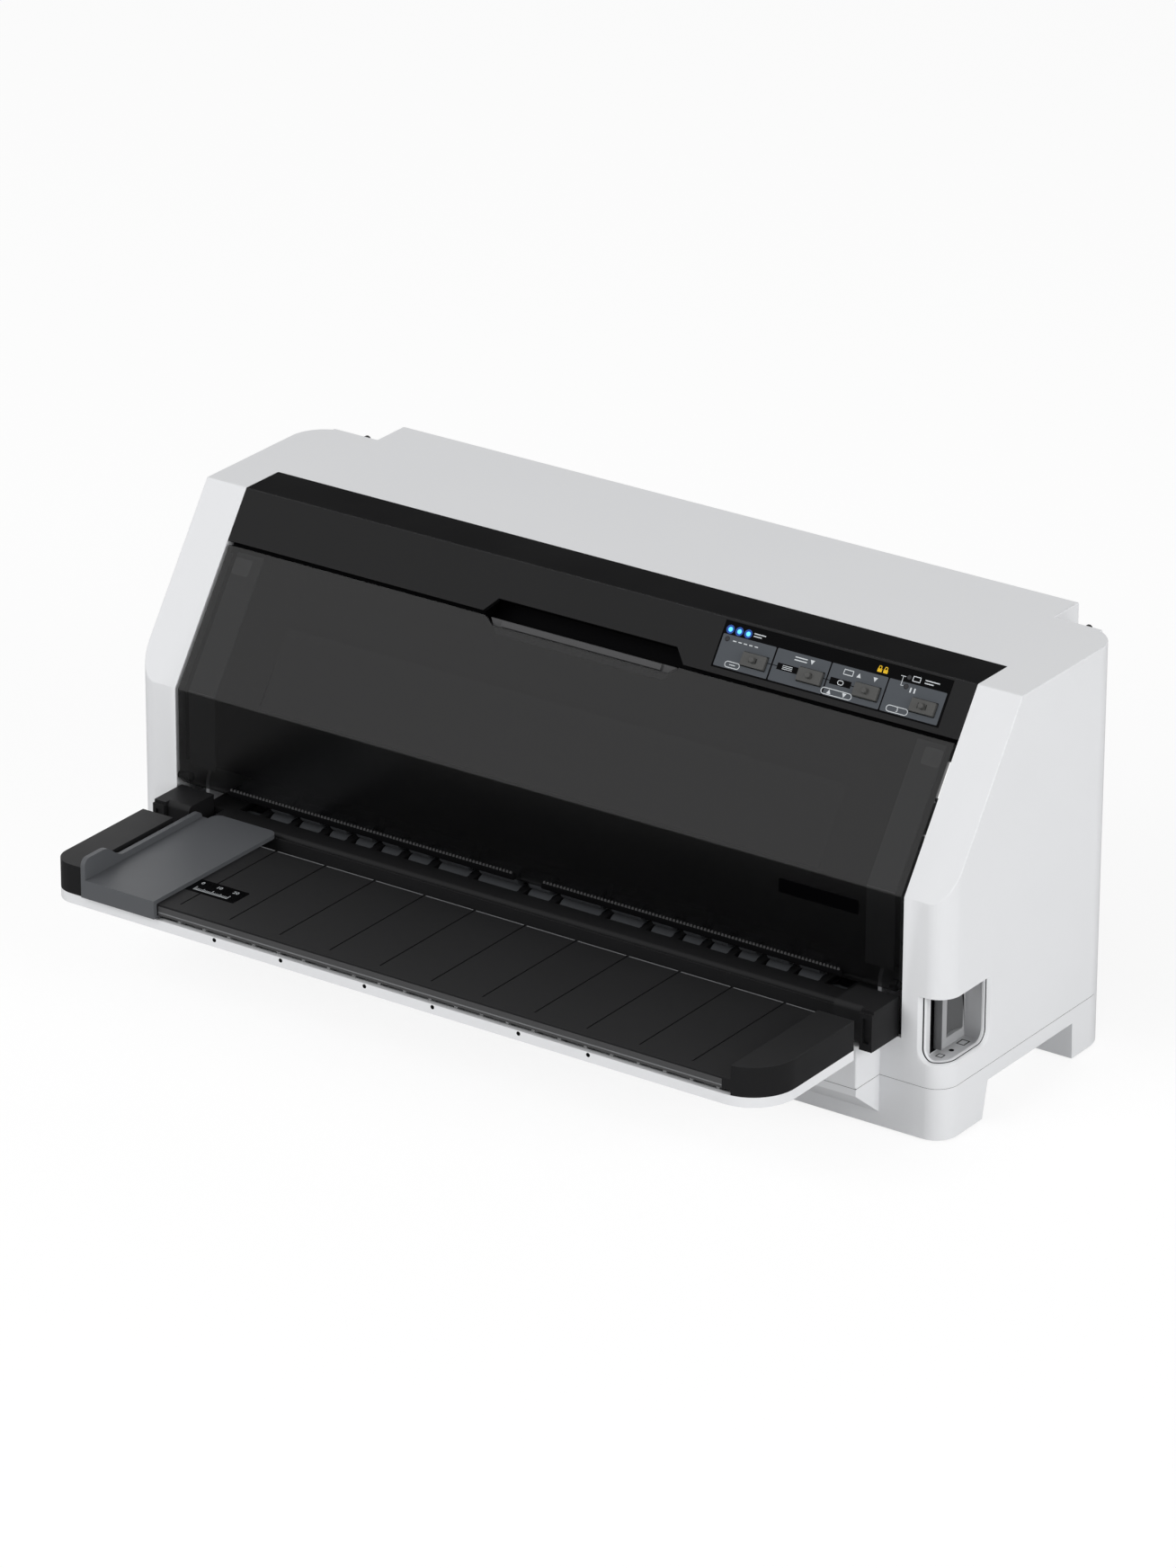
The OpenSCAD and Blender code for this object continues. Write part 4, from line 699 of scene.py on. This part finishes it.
class PRINTER_OT_front_cover(bpy.types.Operator):
    """Smoked cover with its pins, inner bands, latch pads, panes, tear strip and grip"""
    bl_idname = "printer.front_cover"
    bl_label = "Front cover"

    def execute(self, context):
        t = COVER_T
        s0 = SLOT_S + 0.9
        inner_s = (SLANT_RUN - t + t * math.sin(SLANT)) / math.cos(SLANT)
        # The lower inner edge is cut back: it passes the side frames when the cover is right open.
        low, bevel = COVER_BOTTOM, 0.8
        outline = [slant_point(s0, 0), (0, KNEE_Z), (0, low), (t - bevel, low), (t, low + bevel),
                   slant_point(inner_s, -t), slant_point(s0, -t)]
        shell = extruded("cover_shell", outline, "x", -COVER_X, COVER_X)
        half, slope, deep = 57.0, 6, s0 + 4
        notch = [(-half, s0 - 1), (-half, s0), (slope - half, deep), (half - slope, deep), (half, s0), (half, s0 - 1)]
        cut(shell, extruded("notch", notch, "slant", -t - 1, 1))
        corner_cut = 2.1
        for side in (-1, 1):
            edge, inner = side * COVER_X, side * (COVER_X - corner_cut)
            corner = [(edge + side, low - 1), (edge + side, low + corner_cut), (edge, low + corner_cut), (inner, low),
                      (inner, low - 1)]
            cut(shell, extruded("corner", corner, "y", -1, t + 1))
        round_edges(merged(shell), 0.6, sharp=20.0)
        finish_piece(shell, "cover", "smoked_polycarbonate", ["front_cover"])

        # An ear on each inner side, and the pin that turns in the pod.
        pins = []
        for side in (-1, 1):
            for r, steps, near, far in ((2.45, 32, COVER_X - 6, COVER_X - 2.2),
                                        (1.78, 24, COVER_X - 3, WINDOW_X + 2.2)):
                x0, x1 = sorted((side * near, side * far))
                pin = extruded("pin", circle_points(COVER_PIN.y - FACE_Y, COVER_PIN.z, r, steps), "x", x0, x1)
                pins.append(round_edges(pin, 0.3, 2))
        finish_piece(joined("cover_pins", pins), "cover", "moulded_abs_black")

        # Pads and bands lie just behind the smoked wall, so they show through it faintly.
        pads, bands, feet = [], [], []
        knee = slant_point(inner_s, -t - 0.1)
        for side in (-1, 1):
            x0, x1 = sorted((side * (COVER_X - 15.5), side * (COVER_X - 5)))
            pad = extruded("pad", rounded_rectangle(x0, x1, s0 + 4.5, s0 + 13.5, 1.5), "slant", -t - 2, -t - 0.02)
            pads.append(round_edges(pad, 0.3, 2, sharp=60))
            x0, x1 = sorted((side * (COVER_X - 5), side * (COVER_X - 21)))
            band = [slant_point(s0 + 2, -t - 0.1), knee, slant_point(inner_s, -t - 0.8),
                    slant_point(s0 + 2, -t - 0.8)]
            bands.append(extruded("band", band, "x", x0, x1))
            feet.append(extruded("band", rectangle(x0, x1, 82, KNEE_Z - 0.4), "y", t + 0.1, t + 0.8))
        finish_piece(joined("cover_latch_pads", pads), "cover", "moulded_abs_white")
        finish_piece(joined("cover_inner_bands", bands), "cover", "inner_band_abs")
        finish_piece(joined("cover_lower_bands", feet), "cover", "grey_band_and_painted_highlight")
        # Two panes behind the cover carry painted shade for the dim inside: a dark grey one in the middle, and a matt
        # black one nearly as wide as the cover.
        panes, thin = [], 0.25
        for x, top, low, n in ((165, 62, KNEE_Z + 0.5, -t - 0.02), (COVER_X - 2, s0 + 2, 84, -t - 0.9)):
            bent = [slant_point(top, n), slant_point(inner_s, n), (-n, low), (thin - n, low),
                    slant_point(inner_s, n - thin), slant_point(top, n - thin)]
            panes.append(extruded("pane", bent, "x", -x, x))
        finish_piece(panes[0], "cover", "inner_pane_painted_shade")
        finish_piece(panes[1], "cover", "shade_film")

        strips, combs = [], []
        low, length, pitch = COVER_BOTTOM, 174, 2
        tooth = [(-0.75, low + 2.9), (0.75, low + 2.9), (0.35, low + 4.1), (-0.35, low + 4.1)]
        for x0 in (-182, 8):
            bar = extruded("bar", rounded_rectangle(x0, x0 + length, low, low + 3, 0.6, 3), "y", -1.1, -0.02)
            strips.append(round_edges(bar, 0.25, 2, sharp=60))
            steps = [(x0 + 1.5 + pitch * i, 0, 0) for i in range(86)]
            combs.append(repeated(extruded("tooth", tooth, "y", -0.7, -0.02), "teeth", steps))
        # The tear bar uses the top strip's darker black, which carries painted shade.
        finish_piece(joined("cover_tear_bar", strips), "cover", "strip_black_painted_shade", weighted=False)
        finish_piece(joined("cover_tear_teeth", combs), "cover", "grip_abs", weighted=False)

        label = extruded("cover_label_place", rounded_rectangle(145, 190, 107, 114.3, 0.6, 3), "y", -0.08, -0.005)
        finish_piece(label, "cover", "gloss_overlay", weighted=False)

        grip = cad_copy("cover_handle", "cover_grip")
        round_edges(grip, 0.35, 2)
        finish_piece(grip, "cover", "grip_abs", ["cover_handle"])
        return {"FINISHED"}


class PRINTER_OT_controls(bpy.types.Operator):
    """Control overlay with its four fields and signs, the lamps and the four buttons"""
    bl_idname = "printer.controls"
    bl_label = "Controls"

    def execute(self, context):
        ground = -0.2
        key_x, key_half, key_high, line = BUTTON_X0 - PLATE_X0, 7.1, 3.7, 0.38
        plate = cad_copy("control_plate", "control_overlay")
        round_edges(plate, 0.15, 2, sharp=60)
        finish_piece(plate, "case", "gloss_overlay", ["control_plate"])

        def shape(outline, low=0.0, high=0.06):
            """An outline in mm from the overlay's left edge and down the slant, raised a little."""
            return extruded("shape", [(PLATE_X0 + x, s) for x, s in outline], "slant", ground + low, ground + high)

        def outlined(outer, inner):
            """A sign that is only a line: an outer outline less an inner one."""
            return cut(shape(outer, *PRINT), shape(inner, -1, 1))

        # Four fields, each with a hole for its button, and two with one for a dark lens.
        fields = []
        for i, (x0, x1) in enumerate(((0.7, 31.1), (32.0, 62.3), (63.1, 94.6), (95.4, 127.4))):
            x = key_x + i * BUTTON_PITCH
            key = rectangle(x - key_half, x + key_half, BUTTON_S - key_high, BUTTON_S + key_high)
            holes = [shape(key, -1, 1)]
            spot = {0: (3.6, 10.2), 3: (PLATE_X1 - PLATE_X0 - 23.6, 10.0)}.get(i)
            if spot:
                holes.append(shape(circle_points(*spot, 1.3), -1, 1))
            fields.append(cut(shape(rounded_rectangle(x0, x1, 8.0, 24.1, 0.5, 3), 0.005, 0.05), *holes))
        finish_piece(joined("overlay_fields", fields), "case", "screened_overlay", weighted=False)

        black = [shape(rectangle(x0, x0 + 11.8, 14.8, 18.1), 0.05, 0.08) for x0 in (34.6, 64.6)]
        for x0, x1 in ((29.1, 34.6), (46.4, 47.1), (61.0, 64.6), (76.4, 79.0)):
            black.append(shape(rectangle(x0, x1, 16.4, 16.75), 0.05, 0.08))
        finish_piece(joined("overlay_black", black), "case", "gloss_overlay", weighted=False)

        # White signs: bars as (left, right, top, bottom), arrows, lozenges with a corner radius, a figure.
        bars = [(17.0, 23.6, 4.2, 4.7), (17.0, 21.6, 5.5, 6.0), (42.6, 49.6, 9.8, 10.3), (42.6, 49.6, 11.2, 11.7),
                (107.6, 108.4, 9.9, 12.3), (109.8, 110.6, 9.9, 12.3), (100.6, 103.4, 5.3, 5.6),
                (101.9, 102.2, 5.6, 9.9), (101.9, 103.4, 9.8, 10.1), (114.0, 122.0, 4.5, 5.0),
                (114.0, 119.0, 5.9, 6.4)]
        bars += [(7.0 + 3.1 * i, 8.9 + 3.1 * i, 10.3, 10.8) for i in range(5)]
        bars += [(37.6, 43.2, 15.5 + 0.8 * i, 15.8 + 0.8 * i) for i in range(3)]
        marks = [shape(rectangle(*bar), *PRINT) for bar in bars]
        arrows = ((52.4, 10.7, 1.1), (79.0, 10.8, -1.1), (88.0, 10.8, 1.1), (66.2, 22.0, -1.1), (74.6, 22.0, 1.1))
        for x, s, reach in arrows:
            marks.append(shape([(x - 1.2, s - reach), (x + 1.2, s - reach), (x, s + reach)], *PRINT))
        lozenges = ((6.6, 15.2, 20.4, 23.6, 1.6), (61.6, 79.0, 20.3, 23.7, 1.7), (98.4, 110.6, 20.3, 23.7, 1.7),
                    (70.4, 75.8, 9.4, 12.2, 0.3), (107.2, 111.6, 4.1, 6.8, 0.3), (68.9, 72.3, 15.3, 17.7, 1.15))
        for x0, x1, s0, s1, r in lozenges:
            inner = rounded_rectangle(x0 + line, x1 - line, s0 + line, s1 - line, max(0.1, r - line))
            marks.append(outlined(rounded_rectangle(x0, x1, s0, s1, r), inner))
        marks.append(shape(rectangle(9.2, 12.6, 21.8, 22.2), *PRINT))
        marks.append(text_mesh("figure", "3", 2.9, (PLATE_X0 + 104.5, 22.0, ground + 0.07), "slant"))
        finish_piece(joined("overlay_signs", marks), "case", "screen_ink", weighted=False)

        locks = []
        for x in (88.6, 91.9):
            locks.append(shape(rectangle(x - 1.2, x + 1.2, 4.9, 6.6), *PRINT))
            locks.append(outlined(rounded_rectangle(x - 0.9, x + 0.9, 3.4, 5.6, 0.85),
                                  rounded_rectangle(x - 0.5, x + 0.5, 3.8, 5.6, 0.45)))
        finish_piece(joined("overlay_lock_sign", locks), "case", "screen_ink_yellow", weighted=False)

        lamps, darks, glows = [], [], []
        spots = [(3.5, 5.4, lamps), (8.6, 5.4, lamps), (13.7, 5.4, lamps),
                 (3.6, 10.2, darks), (105.1, 5.4, darks), (105.1, 10.0, darks)]
        for x, s, group in spots:
            lens = extruded("lens", circle_points(PLATE_X0 + x, s, 1.22), "slant", -1.2, -0.05)
            group.append(round_edges(lens, 0.3, 3))
            if group is lamps:
                # A painted glow: an emitting ring on the overlay round each lit lens.
                glows.append(cut(shape(circle_points(x, s, 2.2), 0.01, 0.05), shape(circle_points(x, s, 1.3), -1, 1)))
        finish_piece(joined("lit_lenses", lamps), "case", "blue_lens", ["indicator_lenses"])
        finish_piece(joined("lens_painted_glow", glows), "case", "blue_painted_glow", weighted=False)
        finish_piece(joined("dark_lenses", darks), "case", "dark_lens")

        # Each button's sign, in mm from the button's middle; it moves with the button.
        tall, cap_face = (-1.4, 1.4), (1.66, 1.74)
        signs = {
            "tear_off_button": [[(-2.2, -1.3), (-2.2, 1.3), (-0.2, 0)], rectangle(0.5, 1.0, -1.3, 1.3),
                                rectangle(1.6, 2.1, -1.3, 1.3)],
            "line_feed_button": [[(-1.7, -1.1), (1.7, -1.1), (0, 1.3)]],
            "load_button": [[(-1.6, 1.3), (-1.1, 1.3), (1.6, -1.3), (1.1, -1.3)]],
            "pause_button": [rectangle(x0, x1, *tall) for x0, x1 in ((-2.6, -2.2), (0.6, 1.1), (2.0, 2.5))],
        }
        for i, (node, shapes) in enumerate(signs.items()):
            cap = cad_copy(node, node + "_cap")
            round_edges(cap, 0.6, sharp=60.0)
            body = node.replace("_button", "_key")
            finish_piece(cap, body, "button_abs", [node])
            x = BUTTON_X0 + i * BUTTON_PITCH
            inks = [extruded("ink", [(x + u, BUTTON_S + v) for u, v in outline], "slant", *cap_face)
                    for outline in shapes]
            finish_piece(joined(node + "_sign", inks), body, "button_mark", weighted=False)
        return {"FINISHED"}


class PRINTER_OT_table(bpy.types.Operator):
    """Sheet table, the pale tray under it and the edge scale"""
    bl_idname = "printer.table"
    bl_label = "Sheet table"

    def execute(self, context):
        look = context.scene.printer_look
        front, bottom = TABLE_FRONT, TABLE[0].z

        def table_rim(point, _direction):
            return point.z > PATH_Z + 0.5 or (point.y < front + 1 and point.z > bottom + 0.5)

        def tray_corner(point, direction):
            return abs(direction.z) < 0.5 and (point.y < front + 0.5 or abs(point.x) > 200)

        table = cad_copy("sheet_table", "sheet_table_top")
        round_edges(table, look.edge_table / MM, 3, table_rim, 40.0)
        finish_piece(table, "case", "textured_abs_black", ["sheet_table"])

        # A lip painted paler, a painted reflection of the bright floor in front, thinner than the gap to the edge
        # guide that slides past it, with a painted highlight line.
        lip_low, lip_x0, lip_x1 = bottom + 4.9, -144, TABLE[1].x - 25
        bulge = ((-0.3, 0), (0.04, 0), (0.1, 0.8), (0.13, 2.4), (0.1, 4.0), (0.04, 4.8), (-0.3, 4.8))
        lip = extruded("table_lip", [(front - d, lip_low + h) for d, h in bulge], "x", lip_x0, lip_x1)
        finish_piece(lip, "case", "lip_painted_reflection")
        line = rectangle(lip_x0, lip_x1, lip_low + 1.3, lip_low + 1.9)
        finish_piece(extruded("table_lip_painted_highlight", line, "y", front - 0.15, front - 0.05), "case",
                     "grey_band_and_painted_highlight")

        # Painted shade: matt black discs set in the tray's front holes.
        hole_shades = []
        for x in (-110, -70, -20, 20, 70, 110):
            hole_shade = extruded("hole_shade", circle_points(x, bottom + 0.7, 1.15, 16), "y", front - 0.05, front + 0.6)
            hole_shades.append(round_edges(hole_shade, 0.15, 2))
        finish_piece(joined("tray_hole_shades", hole_shades), "case", "shade_film")
        tray = cad_copy("table_tray", "tray_shell")
        round_edges(tray, 0.7, 3, tray_corner, 60.0)
        finish_piece(tray, "case", "moulded_abs_white", ["table_tray"])

        # Painted highlight along the table's rear edge, between the grooves.
        glints, gap = [], 0.9
        for i in range(-GROOVES, GROOVES + 3):
            x0 = max(-184.6, (i - 1.5) * GROOVE_PITCH + gap)
            x1 = min(183, (i - 0.5) * GROOVE_PITCH - gap)
            glint = rectangle(x0, x1, TABLE_END - 0.8, TABLE_END - 0.1)
            glints.append(extruded("glint", glint, "z", PATH_Z - 0.05, PATH_Z + 0.02))
        finish_piece(joined("table_rear_edge_highlight", glints), "case", "grey_band_and_painted_highlight", weighted=False)

        # The edge scale: a black label with a tick for each mm, its zero a margin in from the left.
        x0, x1, f0, f1 = -146.0, -115.0, -85.5, -71.5
        margin, ink_z = 5.0, (PATH_Z + 0.04, PATH_Z + 0.09)
        label = extruded("label", rounded_rectangle(x0, x1, f0, f1, 1.0), "z", PATH_Z - 0.02, PATH_Z + 0.05)
        finish_piece(joined("edge_scale_label", [label]), "case", "gloss_overlay", weighted=False)
        inks = []
        for i in range(21):
            x = x0 + margin + i * 1.0
            length = 3.4 if i % 10 == 0 else (2.6 if i % 5 == 0 else 1.8)
            inks.append(extruded("tick", rectangle(x - 0.14, x + 0.14, f0 + 2.6, f0 + 2.6 + length), "z", *ink_z))
        inks.append(extruded("tick", rectangle(x0 + 4.8, x0 + 25.2, f0 + 2.4, f0 + 2.7), "z", *ink_z))
        for number in (0, 10, 20):
            inks.append(text_mesh("figure", str(number), 3.4, (x0 + margin + number, f1 - 3.6, PATH_Z + 0.06)))
        finish_piece(joined("edge_scale_ink", inks), "case", "screen_ink", weighted=False)
        return {"FINISHED"}


class PRINTER_OT_edge_guide(bpy.types.Operator):
    """Grey edge guide with its raised lip and thumb tab"""
    bl_idname = "printer.edge_guide"
    bl_label = "Edge guide"

    def execute(self, context):
        look = context.scene.printer_look
        guide = cad_copy("edge_guide", "edge_guide_shell")
        round_edges(guide, look.edge_guide / MM, sharp=40.0)
        finish_piece(guide, "side_guide", "textured_abs_guide", ["edge_guide"])
        return {"FINISHED"}


class PRINTER_OT_release(bpy.types.Operator):
    """Release lever, its pocket, the chamfered frame round the recess and the position signs"""
    bl_idname = "printer.release"
    bl_label = "Release lever"

    def frame_rows(self):
        """Rows of points round the recess, wrapped round the case's corner: its frame, and the dark line in it.

        Each row is a ring: how far in from the opening's edge, how deep, its corner radius, and whether its
        lower corners are square."""
        left, low, high, depth_end = HALF_W - 16.1, 39.0, 74.0, 39.7
        flat = HALF_W - FRONT_R - left
        bend = math.pi / 2 * FRONT_R
        width = flat + bend + depth_end - FRONT_R

        def wrapped(u, z, depth):
            if u < flat:
                return Vector((left + u, depth + FACE_Y, z))
            if u < flat + bend:
                a = (u - flat) / FRONT_R
                r = FRONT_R - depth
                return Vector((HALF_W - FRONT_R + r * math.sin(a), FRONT_R - r * math.cos(a) + FACE_Y, z))
            return Vector((HALF_W - depth, FRONT_R + u - flat - bend + FACE_Y, z))

        def outline(inset, r, square):
            bottom = low + 0.6 * inset
            points = [(inset, high + (bottom + r - high) * i / 5) for i in range(5)]
            for i in range(11):
                a = math.pi / 2 * i / 10
                if square:
                    points.append((inset, bottom + r * (1 - i / 5)) if i < 5 else (inset + r * (i / 5 - 1), bottom))
                else:
                    points.append((inset + r * (1 - math.cos(a)), bottom + r * (1 - math.sin(a))))
            points += [(inset + r + (width - 2 * inset - 2 * r) * i / 32, bottom) for i in range(1, 32)]
            return points + [(width - u, z) for u, z in reversed(points[:16])]

        profile = [(-0.2, 0.6, 8.0, True), (0.0, 0.02, 8.0, True), (0.05, 0.02, 8.0, False), (0.5, 0.3, 7.7, False),
                   (2.2, 1.7, 6.6, False), (2.3, 2.7, 6.5, False), (2.65, 2.7, 6.3, False), (2.75, 1.8, 6.2, False),
                   (3.1, 1.6, 6.0, False), (3.35, 1.9, 5.8, False), (3.4, 3.2, 5.8, False), (0.2, 3.5, 7.5, False)]
        groove = [(2.2, 1.6, 6.6, False), (2.24, 1.5, 6.55, False), (2.66, 1.5, 6.3, False), (2.7, 1.6, 6.3, False)]
        return [[[wrapped(u, z, depth) for u, z in outline(inset, r, square)] for inset, depth, r, square in rings]
                for rings in (profile, groove)]

    def execute(self, context):
        lever = cad_copy("release_lever", "release_lever_grip")
        round_edges(lever, 0.5, sharp=40.0)
        # The lever's hollow side and its front face are a piece of their own, in a darker grey of the same ABS:
        # painted shade where they turn from the light.
        with editing(lever) as mesh:
            for face in mesh.faces:
                middle = face.calc_center_median() / MM
                hollow = middle.x > HALF_W - 15.5 and middle.z > 46.5 and 0.1 < abs(face.normal.y) < 0.9
                scoop = hollow or (middle.x < HALF_W - 12.2 and middle.z > 46.5 and face.normal.x > 0.9)
                face.select = scoop or (face.normal.y < -0.9 and middle.z < 76)
            bmesh.update_edit_mesh(lever.data)
            bpy.ops.mesh.separate(type="SELECTED")
        shaded = next(o for o in context.selected_objects if o is not lever)
        shaded.name = "release_lever_painted_shade"
        finish_piece(shaded, "release", "lever_abs_painted_shade", weighted=False)
        finish_piece(lever, "release", "lever_abs", ["release_lever"])
        first, last = (corner.y / MM - FACE_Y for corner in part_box("release_lever"))
        gap = extruded("lever_gap", rectangle(first - 2, last + 1.2, 39.0, 78), "x", HALF_W - 16.58, HALF_W - 16.45)
        finish_piece(gap, "case", "shade_film", weighted=False)
        pocket = cad_copy("lever_pocket", "lever_pocket_shell")
        round_edges(pocket, 0.3, 2, sharp=60.0)
        finish_piece(pocket, "case", "moulded_abs_white", ["lever_pocket"])
        rows, groove = self.frame_rows()
        outwards = Vector((0.7, -0.7, 0.2))
        collar = skinned("recess_frame", rows, outwards)
        finish_piece(collar, "case", "moulded_abs_white", smooth=40.0, weighted=False)
        groove = skinned("recess_frame_line", groove, outwards)
        finish_piece(groove, "case", "shade_film", weighted=False)

        # Signs on the pocket's floor for the lever's two positions: a small and a large sheet, and a dot.
        floor = 38.4
        ink_z = (floor, floor + 0.06)
        signs = [extruded("sign", circle_points(229.2, 22.6, 1.3, 16), "z", *ink_z)]
        for x0, x1, f0, f1, line in ((226.3, 229.9, 12.6, 16.4, 0.5), (226.8, 231.4, 30.2, 35.8, 0.6)):
            sheet = extruded("sign", rectangle(x0, x1, f0, f1), "z", *ink_z)
            inner = rectangle(x0 + line, x1 - line, f0 + line, f1 - line)
            signs.append(cut(sheet, extruded("hole", inner, "z", floor - 1, floor + 1)))
        finish_piece(joined("lever_signs", signs), "case", "textured_abs_black", weighted=False)
        return {"FINISHED"}


class PRINTER_OT_insides(bpy.types.Operator):
    """Every other node, with rounded edges and its own material"""
    bl_idname = "printer.insides"
    bl_label = "Mechanism and back"

    def execute(self, context):
        # Material, rounding in mm, and the nodes that have them.
        finishes = (
            ("textured_abs_black", 0.8, "hinge_block_left hinge_block_right"),
            ("textured_abs_black", 0.25, "paper_guide"),
            ("solder_mask", 0, "panel_board main_board power_supply"),
            ("ground_rubber", 0.4, "rubber_feet platen"),
            ("zinc_sheet", 0, "chassis_plate left_side_frame right_side_frame head_rail"),
            ("ground_steel", 0.3, "carriage_shaft tractor_rod case_screws tractor_shaft"),
            ("stoved_black", 0.5, "carriage_motor"),
            ("ground_rubber", 0, "timing_belt tractor_belt"),
            ("stoved_black", 0.4, "feed_motor"),
            ("textured_abs_black", 0.3, "ac_inlet power_switch pinch_arms"),
            ("textured_abs_black", 0.4, "tractor_frame"),
            ("ground_steel", 0.4, "release_shaft"),
            ("ground_rubber_grey", 0.3, "pinch_rollers"),
            ("textured_abs_black", 0.5, "carriage"),
            ("stoved_black", 0.25, "print_head"),
            ("moulded_abs_black", 0.6, "ribbon_cartridge"),
            ("button_abs", 0.3, "ribbon_knob"),
            ("turned_brass", 0.15, "motor_pulley"),
            ("acetal_natural", 0.15, "idler_pulley"),
            ("acetal_natural", 0, "platen_gear feed_idler_gear"),
            ("ground_rubber_grey", 0, "front_feed_roller"),
            ("turned_brass", 0, "feed_pinion"),
            ("button_abs", 0.4, "power_rocker"),
            ("textured_abs_black", 0.6, "rear_cover"),
            ("tractor_abs", 0.5, "left_tractor right_tractor"),
            ("acetal_natural", 0.3, "left_sprocket right_sprocket"),
            ("tractor_abs", 0.4, "left_tractor_door right_tractor_door"),
        )
        for material, width, nodes in finishes:
            for node in nodes.split():
                refined(node, material, width)
        return {"FINISHED"}


class PRINTER_OT_stage(bpy.types.Operator):
    """Floor, lamps, world and camera"""
    bl_idname = "printer.stage"
    bl_label = "Stage"

    def execute(self, context):
        scene = context.scene
        scene.view_settings.view_transform = "Standard"
        deselect_all()
        bpy.ops.mesh.primitive_plane_add(size=30, location=(0, 0, -0.0005))
        floor = context.object
        floor.name = "stage_floor"

        def seen_directly(tree):
            """1 for the rays that see the backdrop itself or in a gloss, 0 for the light that it sends on."""
            path = add_node(tree, "ShaderNodeLightPath").outputs
            either = add_node(tree, "ShaderNodeMath", {"operation": "MAXIMUM"},
                              {0: path["Is Camera Ray"], 1: path["Is Glossy Ray"]}).outputs[0]
            return add_node(tree, "ShaderNodeMath", {"operation": "MAXIMUM"},
                            {0: either, 1: path["Is Transmission Ray"]}).outputs[0]

        # Matt pale paper whose own white carries most of what the camera sees, so a faint shadow stays.
        # Gloss shows it darker, as the black cover does in the photograph.
        material, tree = new_material("pale_paper")
        share = add_node(tree, "ShaderNodeMapRange", {"To Min": 0.0, "To Max": 0.8}, {"Value": seen_directly(tree)})
        matt = add_node(tree, "ShaderNodeBsdfDiffuse", {"Color": (0.86, 0.86, 0.86, 1)})
        mirrored = add_node(tree, "ShaderNodeLightPath").outputs["Is Glossy Ray"]
        level = add_node(tree, "ShaderNodeMapRange", {"To Min": 1.07, "To Max": 0.12}, {"Value": mirrored})
        glow = add_node(tree, "ShaderNodeEmission", {"Color": (1, 1, 1, 1)}, {"Strength": level.outputs[0]})
        both = add_node(tree, "ShaderNodeMixShader",
                        links={0: share.outputs[0], 1: matt.outputs[0], 2: glow.outputs[0]})
        add_node(tree, "ShaderNodeOutputMaterial", links={"Surface": both.outputs[0]})
        floor.data.materials.append(material)

        world = bpy.data.worlds.new("studio")
        scene.world = world
        world.use_nodes = True
        tree = world.node_tree
        tree.nodes.clear()
        level = add_node(tree, "ShaderNodeMapRange", {"To Min": scene.printer_look.fill, "To Max": 1.0},
                         {"Value": seen_directly(tree)})
        sky = add_node(tree, "ShaderNodeBackground", {"Color": (1, 1, 1, 1)}, {"Strength": level.outputs[0]})
        add_node(tree, "ShaderNodeOutputWorld", links={"Surface": sky.outputs[0]})

        lamps_aim = Vector((0, 0, 0.1))
        lamps = (("front_softbox", (-1.2, -3.1, 2.3), 2.4, 74), ("right_softbox", (3.4, -0.5, 1.2), 2.2, 62))
        for name, place, size, power in lamps:
            light = bpy.data.lights.new(name, "AREA")
            light.size = size
            light.energy = power
            lamp_object = bpy.data.objects.new(name, light)
            scene.collection.objects.link(lamp_object)
            lamp_object.location = place
            lamp_object.visible_glossy = False
            lamp_object.rotation_euler = (lamps_aim - Vector(place)).to_track_quat("-Z", "Y").to_euler()

        lens = bpy.data.cameras.new("view")
        camera = bpy.data.objects.new("view", lens)
        scene.collection.objects.link(camera)
        lens.sensor_width = 36
        lens.lens = CAMERA_LENS
        lens.clip_end = 50
        camera.location = CAMERA_AT
        turn = (CAMERA_AIM - CAMERA_AT).to_track_quat("-Z", "Y").to_matrix().to_4x4()
        camera.rotation_euler = (turn @ Matrix.Rotation(math.radians(CAMERA_ROLL), 4, "Z")).to_euler()
        scene.camera = camera
        return {"FINISHED"}


class PRINTER_PT_panel(bpy.types.Panel):
    """The settings, and the steps in their order"""
    bl_idname = "PRINTER_PT_panel"
    bl_label = "Flatbed Printer"
    bl_space_type = "VIEW_3D"
    bl_region_type = "UI"
    bl_category = "Printer"

    def draw(self, context):
        settings = context.scene.printer_look
        for key in PrinterLook.__annotations__:
            self.layout.prop(settings, key)
        for step in STEPS:
            self.layout.operator(step.bl_idname)


STEPS = (PRINTER_OT_case, PRINTER_OT_top_panel, PRINTER_OT_front_cover, PRINTER_OT_controls, PRINTER_OT_table,
         PRINTER_OT_edge_guide, PRINTER_OT_release, PRINTER_OT_insides, PRINTER_OT_stage)


def register():
    bpy.utils.register_class(PrinterLook)
    bpy.types.Scene.printer_look = bpy.props.PointerProperty(type=PrinterLook)
    for step in STEPS:
        bpy.utils.register_class(step)
    bpy.utils.register_class(PRINTER_PT_panel)


def unregister():
    bpy.utils.unregister_class(PRINTER_PT_panel)
    for step in reversed(STEPS):
        bpy.utils.unregister_class(step)
    del bpy.types.Scene.printer_look
    bpy.utils.unregister_class(PrinterLook)


def main():
    register()
    make_materials(bpy.context.scene.printer_look)
    for step in STEPS:
        group, name = step.bl_idname.split(".")
        getattr(getattr(bpy.ops, group), name)()


if __name__ == "__main__":
    main()
